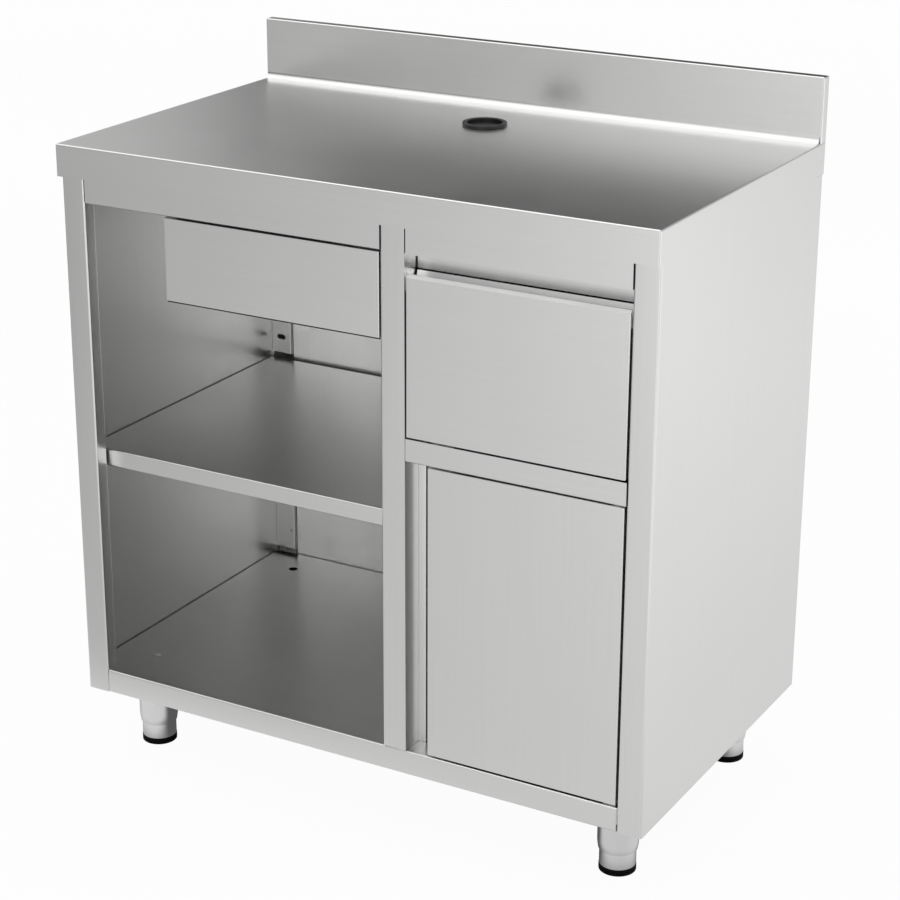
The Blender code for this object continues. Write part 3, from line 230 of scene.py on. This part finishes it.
# The top of the tent is lit on its left half, over the cove
height = node(
    tree, "MapRange",
    {"Value": towards.outputs["Z"], "From Min": 0.55, "From Max": 0.82, "To Min": 0.0, "To Max": 0.70},
    interpolation_type="SMOOTHSTEP",
)
left_half = node(
    tree, "MapRange",
    {"Value": towards.outputs["X"], "From Min": -0.35, "From Max": 0.05, "To Min": 1.0, "To Max": 0.0},
    interpolation_type="SMOOTHSTEP",
)
overhead = node(tree, "Math", {0: height.outputs[0], 1: left_half.outputs[0]}, operation="MULTIPLY")
walls = node(tree, "Math", {0: round_light.outputs[0], 1: overhead.outputs[0]}, operation="ADD")
seen = node(
    tree, "Mix", {"Factor": ray.outputs["Is Camera Ray"], "A": walls.outputs[0], "B": 1.0}, data_type="FLOAT"
)
light = node(tree, "Background", {"Color": linear("#FFFFFF"), "Strength": seen.outputs[0]})
node(tree, "OutputWorld", {"Surface": light.outputs[0]})

# How each cloth hangs, in metres: "lit_from" is the height where it starts to turn to full light, which it
# reaches at its upper edge. Each patch has its left end, its right end, the width of its soft ends, its
# lower edge, its upper edge and its level.
cloths = {
    "front_cloth": {
        "y": -4.5, "left": -7.0, "right": 7.0, "low": 0.0, "high": 5.0, "level": 0.0, "lit_from": 3.9,
        "patches": [
            (-9.0, -1.0, 0.6, -2.0, 2.05, 0.48),
            (-2.5, 0.2, 1.0, 2.05, 9.0, 0.62),
            (-1.0, 1.0, 0.6, -2.0, 2.10, 1.36),
            (1.0, 3.0, 0.6, -2.0, 2.10, 0.49),
            (1.0, 3.0, 0.6, 2.10, 4.30, 2.15),
        ],
    },
    "rear_cloth": {
        "y": 3.0, "left": -6.0, "right": 0.4, "low": 1.3, "high": 5.0, "level": 0.02, "lit_from": 3.7,
        "patches": [(-9.0, -2.4, 1.2, -2.0, 9.0, 0.42)],
    },
}
soft_edge = 0.6
full_light = 1.20
for name, hung in cloths.items():
    cloth_mesh = bpy.data.meshes.new(name)
    cloth_corners = [
        (hung["left"], hung["y"], hung["low"]), (hung["right"], hung["y"], hung["low"]),
        (hung["right"], hung["y"], hung["high"]), (hung["left"], hung["y"], hung["high"]),
    ]
    cloth_mesh.from_pydata(cloth_corners, [], [(0, 1, 2, 3)])
    cloth = bpy.data.objects.new(name, cloth_mesh)
    scene.collection.objects.link(cloth)
    cloth.visible_camera = False
    # White cotton, woven close and lit from behind: it spreads each lamp into a patch with soft edges.
    glow = bpy.data.materials.new("back_lit_white_" + name)
    glow.use_nodes = True
    tree = glow.node_tree
    tree.nodes.clear()
    place = node(tree, "NewGeometry")
    spot = node(tree, "SeparateXYZ", {0: place.outputs["Position"]})
    level = hung["level"]
    for left, right, soft_end, low, high, patch in hung["patches"]:
        edges = [
            ("X", left, soft_end, 0.0, 1.0), ("X", right, soft_end, 1.0, 0.0),
            ("Z", low, soft_edge, 0.0, 1.0), ("Z", high, soft_edge, 1.0, 0.0),
        ]
        for axis, at, width, before, after in edges:
            edge = node(
                tree, "MapRange",
                {
                    "Value": spot.outputs[axis], "From Min": at - width / 2, "From Max": at + width / 2,
                    "To Min": before, "To Max": after,
                },
                interpolation_type="SMOOTHSTEP",
            )
            patch = node(tree, "Math", {0: edge.outputs[0], 1: patch}, operation="MULTIPLY").outputs[0]
        level = node(tree, "Math", {0: patch, 1: level}, operation="ADD").outputs[0]
    up = node(
        tree, "MapRange",
        {
            "Value": spot.outputs["Z"], "From Min": hung["lit_from"], "From Max": hung["high"],
            "To Min": 0.0, "To Max": 1.0,
        },
        interpolation_type="SMOOTHSTEP",
    )
    level = node(tree, "Mix", {"Factor": up.outputs[0], "A": level, "B": full_light}, data_type="FLOAT")
    shine = node(tree, "Emission", {"Color": linear("#FFFFFF"), "Strength": level.outputs[0]})
    node(tree, "OutputMaterial", {"Surface": shine.outputs[0]})
    cloth_mesh.materials.append(glow)


# Legs: a stainless tube sleeve, swaged in at its mouth and riveted by a flange under the bottom shelf,
# with a tube foot that screws out of it to level the counter and a black plastic pad pressed into the foot.

crisp_corner = math.radians(35.0)
on_axis = 1e-6


def made(name, work, finish, body):
    """Turns drawn geometry into a piece with soft bends and crisp corners, fixed to a body of the counter."""
    for face in work.faces:
        face.smooth = True
    for edge in work.edges:
        edge.smooth = len(edge.link_faces) == 2 and edge.calc_face_angle() < crisp_corner
    mesh = bpy.data.meshes.new(name)
    work.to_mesh(mesh)
    work.free()
    mesh.materials.append(finish)
    piece = bpy.data.objects.new(name, mesh)
    scene.collection.objects.link(piece)
    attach(piece, body)
    return piece


def softened(corners, radius, steps=4):
    """A closed profile of (radius, height) points with every corner away from the axis rounded off."""
    most_of_side = 0.45
    outline = []
    for i, corner in enumerate(corners):
        here = Vector(corner)
        before = Vector(corners[i - 1]) - here
        after = Vector(corners[(i + 1) % len(corners)]) - here
        if corner[0] < on_axis or before.length < on_axis or after.length < on_axis:
            outline.append(corner)
            continue
        opening = before.angle(after)
        shorter = min(before.length, after.length)
        reach = min(radius / math.tan(opening / 2), shorter * most_of_side)
        start = here + before.normalized() * reach
        end = here + after.normalized() * reach
        for step in range(steps + 1):
            t = step / steps
            point = start * (1 - t) ** 2 + here * (2 * t * (1 - t)) + end * t**2
            outline.append(tuple(point))
    return outline


def turned(work, profile, centre, steps=72, lie=Matrix.Identity(3)):
    """Turns a closed profile about an upright axis through the centre, or about X where it lies down."""
    rings = []
    for radius, height in profile:
        if radius < on_axis:
            rings.append([work.verts.new(Vector(centre) + lie @ Vector((0.0, 0.0, height)))])
            continue
        ring = []
        for step in range(steps):
            a = 2 * math.pi * step / steps
            point = Vector((radius * math.cos(a), radius * math.sin(a), height))
            ring.append(work.verts.new(Vector(centre) + lie @ point))
        rings.append(ring)
    for upper, lower in zip(rings, rings[1:] + rings[:1]):
        for step in range(steps):
            ends = [upper[step % len(upper)], upper[(step + 1) % len(upper)]]
            ends += [lower[(step + 1) % len(lower)], lower[step % len(lower)]]
            corners = list(dict.fromkeys(ends))
            if len(corners) > 2:
                work.faces.new(corners)
    bmesh.ops.recalc_face_normals(work, faces=work.faces)
    return work


def rivet(work, at, out, radius=0.0032):
    """A blind rivet's domed head, with the hole that its broken stem leaves."""
    shares = [
        (1.0, 0.0), (1.0, 0.20), (0.86, 0.46), (0.55, 0.62),
        (0.34, 0.62), (0.30, 0.30), (0.0, 0.30), (0.0, 0.0),
    ]
    head = [(across * radius, high * radius) for across, high in shares]
    lie = Vector((0.0, 0.0, 1.0)).rotation_difference(Vector(out)).to_matrix()
    return turned(work, softened(head, 0.0003, 2), at, 20, lie)


def started(name, **values):
    """A new material, its nodes and its shader, with the values that are the same all over it."""
    finish = bpy.data.materials.new(name)
    finish.use_nodes = True
    shader = finish.node_tree.nodes["Principled BSDF"]
    for socket, value in values.items():
        shader.inputs[socket].default_value = value
    return finish, finish.node_tree, shader


def coloured(tree, shader, pattern, dark, light):
    """Lets a pattern carry the finish's colour, from dark to light."""
    tone = node(tree, "Mix", {"Factor": pattern, "A": linear(dark), "B": linear(light)}, data_type="RGBA")
    tree.links.new(tone.outputs["Result"], shader.inputs["Base Color"])


def dulled(tree, shader, pattern, smooth, rough, least=0.3, most=0.7):
    """Lets a pattern, which runs from least to most, carry the finish's roughness."""
    sheen = node(
        tree, "MapRange",
        {"Value": pattern, "From Min": least, "From Max": most, "To Min": smooth, "To Max": rough},
    )
    tree.links.new(sheen.outputs[0], shader.inputs["Roughness"])


def raised(tree, shader, pattern, strength, distance):
    """Lets a pattern carry the finish's fine relief, as deep as the distance in metres."""
    relief = node(tree, "Bump", {"Strength": strength, "Distance": distance, "Height": pattern})
    tree.links.new(relief.outputs[0], shader.inputs["Normal"])


# Stainless tube, linished on a belt while it turned: fine rings round it and a clear, slightly soft
# mirror, so that the eye sees upright light and dark bands.
linished_tube, tree, shader = started("linished_stainless_tube", Metallic=1.0)
coords = node(tree, "TexCoord")
# Belt lines are about 0.05 mm apart and run on for some 80 mm, drawn 0.8 mm apart so that they show
lines = node(tree, "Mapping", {"Vector": coords.outputs["Object"], "Scale": (12.0, 12.0, 1 / 0.0008)})
belt = node(tree, "TexNoise", {"Vector": lines.outputs[0], "Scale": 1.0, "Detail": 2.0})
coloured(tree, shader, belt.outputs[0], "#EEEEEE", "#F6F6F6")
dulled(tree, shader, belt.outputs[0], 0.17, 0.22)
raised(tree, shader, belt.outputs[0], 0.15, 0.00001)

# Polypropylene, moulded in a spark-textured tool: deep black with a fine even tooth that breaks up its gloss.
moulded_black, tree, shader = started("moulded_black_polypropylene", IOR=1.49)
shader.inputs["Specular IOR Level"].default_value = 0.10
coords = node(tree, "TexCoord")
# The tooth is about 0.1 mm across, drawn 0.7 mm across so that it shows
tooth = node(tree, "TexNoise", {"Vector": coords.outputs["Object"], "Scale": 1 / 0.0007, "Detail": 2.0})
coloured(tree, shader, tooth.outputs[0], "#060606", "#0C0C0C")
dulled(tree, shader, tooth.outputs[0], 0.50, 0.60)
raised(tree, shader, tooth.outputs[0], 0.20, 0.00003)

flange_under = 0.1460
sleeve_profile = softened(
    [
        (0.0095, 0.1490), (0.0500, 0.1490), (0.0500, flange_under), (0.0315, flange_under), (0.0315, 0.0505),
        (0.0311, 0.0445), (0.0297, 0.0360), (0.0284, 0.0360), (0.0284, 0.0505), (0.0295, 0.0525),
        (0.0295, flange_under), (0.0095, flange_under),
    ],
    0.0006,
)
foot_profile = softened(
    [
        (0.0, 0.0810), (0.0280, 0.0810), (0.0280, 0.0103), (0.0260, 0.0103), (0.0260, 0.0790), (0.0, 0.0790),
    ],
    0.0009,
)
pad_profile = softened(
    [
        (0.0, 0.0180), (0.0257, 0.0180), (0.0257, 0.0100), (0.0285, 0.0100), (0.0285, 0.0062),
        (0.0278, 0.0062), (0.0278, 0.0052), (0.0285, 0.0052), (0.0285, 0.0), (0.0, 0.0),
    ],
    0.0010,
)
rivet_circle = 0.041
leg_places = {
    "front_left": (-0.4229, -0.2024), "front_right": (0.4229, -0.2024),
    "rear_left": (-0.4229, 0.2109), "rear_right": (0.4229, 0.2109),
}
for corner, (x, y) in leg_places.items():
    stands = (x, y, 0.0)
    foot_body = f"{corner}_foot"
    work = turned(bmesh.new(), sleeve_profile, stands)
    sleeve = made(f"sleeve_{corner}", work, linished_tube, "cabinet")
    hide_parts(f"leg_sleeve_{corner}")
    work = turned(bmesh.new(), foot_profile, stands)
    foot = made(f"tube_foot_{corner}", work, linished_tube, foot_body)
    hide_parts(f"foot_{corner}")
    work = turned(bmesh.new(), pad_profile, stands)
    pad = made(f"pad_{corner}", work, moulded_black, foot_body)
    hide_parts(f"foot_pad_{corner}")
    work = bmesh.new()
    for quarter in range(4):
        a = math.radians(45.0 + 90.0 * quarter)
        at = (x + rivet_circle * math.cos(a), y + rivet_circle * math.sin(a), flange_under)
        rivet(work, at, (0.0, 0.0, -1.0))
    made(f"flange_rivets_{corner}", work, linished_tube, "cabinet")


# Bottom shelf: one stainless sheet, 1.2 mm, folded down at the front into the bottom rail and also along
# its sides and back. It is let in between the two front posts, and over each front leg a flush stud
# head shows.


def satin_stainless(name, run, light="#F8F8F7", dark="#F4F4F3", smooth=0.28, rough=0.31):
    """Stainless steel sheet, rolled and then belt-grained along X, Y or Z: a soft, even mirror that
    keeps the shape of what it reflects and carries faint long lines along the grain."""
    finish, tree, shader = started(name, Metallic=1.0)
    coords = node(tree, "TexCoord")
    # Grain lines are 0.1 mm wide and up to 300 mm long, drawn 4 mm wide so that they show
    scale = [1 / 0.300 if axis == run else 1 / 0.004 for axis in "XYZ"]
    drawn_out = node(tree, "Mapping", {"Vector": coords.outputs["Object"], "Scale": scale})
    grain = node(
        tree, "TexNoise", {"Vector": drawn_out.outputs[0], "Scale": 1.0, "Detail": 1.0, "Roughness": 0.5}
    )
    # Handling leaves patches about 90 mm across that are a shade duller
    patches = node(tree, "TexNoise", {"Vector": coords.outputs["Object"], "Scale": 1 / 0.090, "Detail": 2.0})
    coloured(tree, shader, grain.outputs[0], dark, light)
    worn = node(tree, "Math", {0: patches.outputs[0], 1: 0.5, 2: 0.25}, operation="MULTIPLY_ADD")
    both = node(tree, "Math", {0: grain.outputs[0], 1: 0.15, 2: worn.outputs[0]}, operation="MULTIPLY_ADD")
    dulled(tree, shader, both.outputs[0], smooth, rough, 0.45, 0.70)
    raised(tree, shader, grain.outputs[0], 0.008, 0.00001)
    return finish


# The sheet's cut edge as the shear leaves it, half burnished and half torn and dull, with its colour painted
# near black: painted shade for the gaps between parts.
sheared_edge_painted_shade, tree, shader = started("sheared_edge_painted_gap_shade", Metallic=1.0)
coords = node(tree, "TexCoord")
# The torn part has ridges about 0.2 mm apart, drawn 1 mm apart so that they show
torn = node(tree, "TexNoise", {"Vector": coords.outputs["Object"], "Scale": 1 / 0.001, "Detail": 2.0})
coloured(tree, shader, torn.outputs[0], "#3A3A39", "#4A4A49")
dulled(tree, shader, torn.outputs[0], 0.45, 0.60)
thickest_sheet = 0.0016
square_corner = math.radians(60.0)
flat_join = math.radians(2.0)
same_point = 0.000002


def is_cut_edge(face):
    """True for the narrow face left by the shear, which meets the sheet's two sides at square corners."""
    longest = max(edge.calc_length() for edge in face.edges)
    if 2 * face.calc_area() > thickest_sheet * longest:
        return False
    shared = [edge for edge in face.edges if len(edge.link_faces) == 2]
    turns = [edge.calc_face_angle() for edge in shared if edge.calc_length() > 0.5 * longest]
    turns = [turn for turn in turns if turn > flat_join]
    return bool(turns) and min(turns) > square_corner


def folded(name, finish, slot="brushed_steel"):
    """A folded sheet as the press leaves it: flat faces true to their edges, smooth bends, and sheared edges
    painted dark as the shade in the gaps.
    """
    cad = frame["nodes"][name]
    work = bmesh.new()
    work.from_mesh(cad.data)
    bmesh.ops.remove_doubles(work, verts=work.verts, dist=same_point)
    for face in work.faces:
        # Cut edges take the sheared edge finish, painted dark as the shade in the gaps between parts
        face.material_index = 1 if slot == "brushed_steel" and is_cut_edge(face) else 0
    piece = made(name + "_sheet", work, finish, cad["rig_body"])
    if any(face.material_index for face in piece.data.polygons):
        piece.data.materials.append(sheared_edge_painted_shade)
    if "custom_normal" in piece.data.attributes:
        piece.data.attributes.remove(piece.data.attributes["custom_normal"])
    flats = piece.modifiers.new("true_flats", "WEIGHTED_NORMAL")
    flats.keep_sharp = True
    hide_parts(name)
    return piece


satin_along_x = satin_stainless("satin_stainless_grained_lengthwise", "X")
satin_along_z = satin_stainless("satin_stainless_grained_upright", "Z")
# The floor behind the rail is a greyer, softer mirror than the grained front.
floor_finish = satin_stainless("greyer_floor_with_grained_rail", "X")
rail_ends, greyer_starts = -0.2850, -0.2820
tree = floor_finish.node_tree
shader = tree.nodes["Principled BSDF"]
grained = shader.inputs["Base Color"].links[0].from_socket
coords = node(tree, "TexCoord")
spot = node(tree, "SeparateXYZ", {0: coords.outputs["Object"]})
# Rolling marks about 30 mm apart
rolled = node(tree, "TexNoise", {"Vector": coords.outputs["Object"], "Scale": 1 / 0.030, "Detail": 2.0})
greyer_tone = node(
    tree, "Mix",
    {"Factor": rolled.outputs[0], "A": linear("#CCCCCB"), "B": linear("#D2D2D1")},
    data_type="RGBA",
)
inside = node(
    tree, "MapRange",
    {
        "Value": spot.outputs["Y"], "From Min": rail_ends, "From Max": greyer_starts,
        "To Min": 0.0, "To Max": 1.0,
    },
)
tone = node(
    tree, "Mix",
    {"Factor": inside.outputs[0], "A": grained, "B": greyer_tone.outputs["Result"]},
    data_type="RGBA",
)
tree.links.new(tone.outputs["Result"], shader.inputs["Base Color"])
folded("bottom_shelf", floor_finish)
shelf_top = 0.1505
stud_profile = softened(
    [(0.0, 0.0007), (0.0055, 0.0006), (0.0070, 0.0002), (0.0070, 0.00002), (0.0, 0.00002)], 0.0004
)
work = bmesh.new()
for corner in ("front_left", "front_right"):
    turned(work, stud_profile, (*leg_places[corner], shelf_top), 48)
made("floor_stud_heads", work, linished_tube, "cabinet")


# Sides and back: each side is one sheet folded round the front into a post and its return, with a
# rear post spot-welded inside it. The back is a shallow tray between the rear posts.

for name in ("left_side_panel", "right_side_panel", "back_panel"):
    folded(name, satin_along_z)
# The rear posts are greyer and a little softer than the panels.
greyer_along_z = satin_stainless("greyer_stainless_upright", "Z", "#D8D8D7", "#D0D0CF", 0.30, 0.36)
for name in ("rear_left_post", "rear_right_post"):
    folded(name, greyer_along_z)


# Middle post and divider: a folded channel between the bays and the sheet that parts them,
# spot-welded behind it and grained upright.

for name in ("mid_post", "centre_divider"):
    folded(name, satin_along_z)


# Rails: the aprons under the worktop and the rail between drawer and door, folded channels grained
# lengthwise and welded between the posts. The right apron is folded back and down behind the finger slot.

for name in ("left_apron", "right_apron", "mid_rail"):
    folded(name, satin_along_x)


# Middle shelf: a stainless sheet folded down at its front, its back and its left side, on an angle
# spot-welded to the side panel and one on the divider.

for name in ("middle_shelf", "shelf_left_bracket", "shelf_right_bracket"):
    folded(name, satin_along_x)


# Worktop: one 1.5 mm sheet, folded down at the front and sides and up through a cove into a boxed
# splashback, its corners welded and ground smooth. Two hat sections stiffen it from below.

for name in ("worktop", "worktop_front_stiffener", "worktop_rear_stiffener"):
    folded(name, satin_along_x)


# Cable grommet: a black plastic ring pressed into a round hole in the worktop, with a loose cap that
# lies a little below the rim.

grommet_at = (0.0, 0.1375, 1.0213)
ring_profile = softened(
    [
        (0.0280, 0.0052), (0.0350, 0.0052), (0.0350, 0.0), (0.0297, 0.0), (0.0297, -0.0140),
        (0.0245, -0.0140), (0.0245, -0.0031), (0.0280, -0.0031),
    ],
    0.0011,
)
cap_profile = softened([(0.0, -0.0008), (0.0277, -0.0008), (0.0277, -0.0028), (0.0, -0.0028)], 0.0005)
# ABS, moulded in a fine-blasted tool: black with a soft silky gloss that picks up the light from above.
silky_black, tree, shader = started("moulded_silky_black_abs", IOR=1.54)
coords = node(tree, "TexCoord")
# The blasted tooth is about 0.05 mm across, drawn 0.6 mm across so that it shows
tooth = node(tree, "TexNoise", {"Vector": coords.outputs["Object"], "Scale": 1 / 0.0006, "Detail": 2.0})
coloured(tree, shader, tooth.outputs[0], "#0B0B0B", "#121212")
dulled(tree, shader, tooth.outputs[0], 0.36, 0.44)
raised(tree, shader, tooth.outputs[0], 0.15, 0.00002)
work = turned(bmesh.new(), ring_profile, grommet_at, 96)
ring = made("grommet_flange_ring", work, silky_black, "cabinet")
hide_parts("grommet_ring")
work = turned(bmesh.new(), cap_profile, grommet_at, 96)
cap = made("grommet_loose_cap", work, silky_black, "cabinet")
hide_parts("grommet_cap")


# Hung drawer: a folded front over the end of a sheet box, on steel runners between two hangers under
# the worktop. The box's rim is turned over into a safety hem, and rivets hold the front.

hung_front = folded("hung_drawer_front", satin_along_x)
# Its lower edge is sheared to a bevel, and the bevel is painted as dark as the cut edges: a painted shade
# line along the front's lower edge
if len(hung_front.data.materials) == 1:
    hung_front.data.materials.append(sheared_edge_painted_shade)
for face in hung_front.data.polygons:
    if face.normal.y < -0.5 and face.normal.z < -0.5:
        face.material_index = 1
folded("hung_drawer_box", satin_along_x)
for hand in ("left", "right"):
    folded(f"hung_drawer_{hand}_hanger", satin_along_x)

# Zinc-plated runner steel, roll-formed and then plated: bluish grey, with a faint crystal pattern and a
# dull mirror.
zinc_plate, tree, shader = started("zinc_plated_rolled_steel", Metallic=1.0)
coords = node(tree, "TexCoord")
# Zinc crystals are about 1 mm across, drawn 4 mm across so that they show
crystals = node(tree, "TexVoronoi", {"Vector": coords.outputs["Object"], "Scale": 1 / 0.004})
coloured(tree, shader, crystals.outputs["Color"], "#B9BEC4", "#CBD0D4")
dulled(tree, shader, crystals.outputs["Distance"], 0.34, 0.44, 0.0, 0.6)
for hand in ("left", "right"):
    folded(f"hung_drawer_{hand}_rail", zinc_plate, "zinc_steel")
    folded(f"hung_drawer_{hand}_slide", zinc_plate, "zinc_steel")
box_sheet = 0.0012
clear_of_front = 0.004


def rim_hem(work, low, high, drop=0.0055, turn=0.0012):
    """The rim of a box turned over outwards on its two sides and its back: a closed U round three edges."""
    near, far = low.y + clear_of_front, high.y
    left, right, top = low.x, high.x, high.z - box_sheet
    section = [
        (0.0, 0.0), (0.0, -drop), (turn * 0.5, -drop - turn * 0.35), (turn, -drop),
        (turn, -turn * 0.3), (turn * 0.5, turn * 0.2),
    ]
    corners = [
        ((left, near), (-1, 0)), ((left, far), (-1, 1)), ((right, far), (1, 1)), ((right, near), (1, 0)),
    ]
    loops = []
    for (x, y), (out_x, out_y) in corners:
        loops.append([work.verts.new((x + out_x * w, y + out_y * w, top + z)) for w, z in section])
    for here, there in zip(loops, loops[1:]):
        for i in range(len(section)):
            j = (i + 1) % len(section)
            work.faces.new((here[i], here[j], there[j], there[i]))
    work.faces.new(loops[0][::-1])
    work.faces.new(loops[-1])
    bmesh.ops.recalc_face_normals(work, faces=work.faces)
    return work


def front_rivets(low, high, in_from_end, in_from_edge):
    """Four rivets through a box's front wall into the drawer front, with their heads inside the box."""
    work = bmesh.new()
    for x in (low.x + in_from_end, high.x - in_from_end):
        for z in (low.z + in_from_edge, high.z - in_from_edge):
            rivet(work, (x, low.y + box_sheet, z), (0.0, 1.0, 0.0))
    return work


box_low, box_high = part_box("hung_drawer_box")
work = rim_hem(bmesh.new(), box_low, box_high)
made("hung_drawer_rim_hem", work, satin_along_x, "hung_drawer")
work = front_rivets(box_low, box_high, 0.045, 0.020)
made("hung_drawer_front_rivets", work, linished_tube, "hung_drawer")


# Deep drawer: a folded front whose bevelled top edge turns down into a finger channel, a deep sheet box
# behind it on steel runners, and inside the box a steel bar in a rubber sleeve for knocking out grounds.

for name in ("deep_drawer_finger_channel", "deep_drawer_box"):
    folded(name, satin_along_x)
deep_front = folded("deep_drawer_front", satin_along_x)
# The bevel is welded at its ends and ground by hand, which leaves it duller than the grained face below it;
# its greyer colour is painted shade that tones down the highlight it catches from above.
ground_bevel_painted_shade = satin_stainless("hand_ground_bevel_painted_shade", "X", "#DCDCDB", "#D4D4D3", 0.34, 0.40)
deep_front.data.materials.append(ground_bevel_painted_shade)
for face in deep_front.data.polygons:
    if face.normal.y < -0.3 and face.normal.z > 0.3:
        face.material_index = len(deep_front.data.materials) - 1
for hand in ("left", "right"):
    for kind in ("rail", "slide", "spacer"):
        folded(f"deep_drawer_{hand}_{kind}", zinc_plate, "zinc_steel")
box_low, box_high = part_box("deep_drawer_box")
work = rim_hem(bmesh.new(), box_low, box_high)
made("deep_drawer_rim_hem", work, satin_along_x, "deep_drawer")
work = front_rivets(box_low, box_high, 0.045, 0.030)
made("deep_drawer_front_rivets", work, linished_tube, "deep_drawer")

lying = Matrix.Rotation(math.pi / 2, 3, "Y")
bar_radius = 0.0080
bar_low, bar_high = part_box("knock_bar")
bar_at = (bar_low + bar_high) / 2
bar_half = (bar_high.x - bar_low.x) / 2
bar_profile = softened(
    [(0.0, bar_half), (bar_radius, bar_half), (bar_radius, -bar_half), (0.0, -bar_half)], 0.0008
)
work = turned(bmesh.new(), bar_profile, bar_at, 48, lying)
bar = made("knock_bar_rod", work, linished_tube, "deep_drawer")
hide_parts("knock_bar")

# Rubber, moulded and vulcanised: dull black, a little grey where it has been struck.
moulded_rubber, tree, shader = started("moulded_black_rubber", IOR=1.52)
coords = node(tree, "TexCoord")
# Scuffs from the coffee holder are about 5 mm long
scuffs = node(tree, "TexNoise", {"Vector": coords.outputs["Object"], "Scale": 1 / 0.005, "Detail": 3.0})
coloured(tree, shader, scuffs.outputs[0], "#161616", "#2A2A2A")
dulled(tree, shader, scuffs.outputs[0], 0.66, 0.82)
raised(tree, shader, scuffs.outputs[0], 0.25, 0.0001)
# Twelve ribs with rounded grooves between them, and a chamfer at each end
rib_count = 12
rib_radius, groove_radius, end_radius, bore_radius = 0.0160, 0.0150, 0.0135, 0.0083
groove_half, groove_floor_half, chamfer = 0.0016, 0.0008, 0.0025
sleeve_low, sleeve_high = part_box("knock_bar_sleeve")
sleeve_half = (sleeve_high.x - sleeve_low.x) / 2
ribbed_half = sleeve_half - chamfer
ribs = [(rib_radius, ribbed_half)]
for rib in range(1, rib_count):
    height = ribbed_half * (1 - 2 * rib / rib_count)
    ribs += [(rib_radius, height + groove_half), (groove_radius, height + groove_floor_half)]
    ribs += [(groove_radius, height - groove_floor_half), (rib_radius, height - groove_half)]
ribs.append((rib_radius, -ribbed_half))
sleeve_outline = [
    (bore_radius, sleeve_half), (end_radius, sleeve_half), *ribs,
    (end_radius, -sleeve_half), (bore_radius, -sleeve_half),
]
work = turned(bmesh.new(), softened(sleeve_outline, 0.0006, 3), bar_at, 64, lying)
knock_sleeve = made("knock_bar_rubber", work, moulded_rubber, "deep_drawer")
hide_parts("knock_bar_sleeve")


# Door: a skin folded into a tray and closed by an inner panel, swinging on steel pins in nylon bushes at
# its right, and shutting against a fixed strip with a magnet catch that meets a steel plate on the door.

for name in ("door_skin", "door_inner_panel", "door_stop_strip"):
    folded(name, satin_along_z)
for name in ("door_top_pivot", "door_bottom_pivot", "door_strike_plate"):
    folded(name, zinc_plate, "zinc_steel")
folded("door_magnet_catch", moulded_black, "black_plastic")

# Nylon, moulded: a warm milky white with a soft waxy gloss.
moulded_nylon, tree, shader = started("moulded_natural_nylon", IOR=1.53)
coords = node(tree, "TexCoord")
# Flow marks in the moulding are about 2 mm apart
flow = node(tree, "TexNoise", {"Vector": coords.outputs["Object"], "Scale": 1 / 0.002, "Detail": 2.0})
coloured(tree, shader, flow.outputs[0], "#DEDBD2", "#E8E6DE")
dulled(tree, shader, flow.outputs[0], 0.40, 0.50)
for end in ("top", "bottom"):
    folded(f"door_{end}_bush", moulded_nylon, "white_nylon")
catch_rivet_in, catch_rivet_radius = 0.006, 0.0022
catch_low, catch_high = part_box("door_magnet_catch")
catch_middle = (catch_low.y + catch_high.y) / 2
work = bmesh.new()
for z in (catch_low.z + catch_rivet_in, catch_high.z - catch_rivet_in):
    rivet(work, (catch_low.x, catch_middle, z), (-1.0, 0.0, 0.0), catch_rivet_radius)
made("door_catch_rivets", work, zinc_plate, "cabinet")
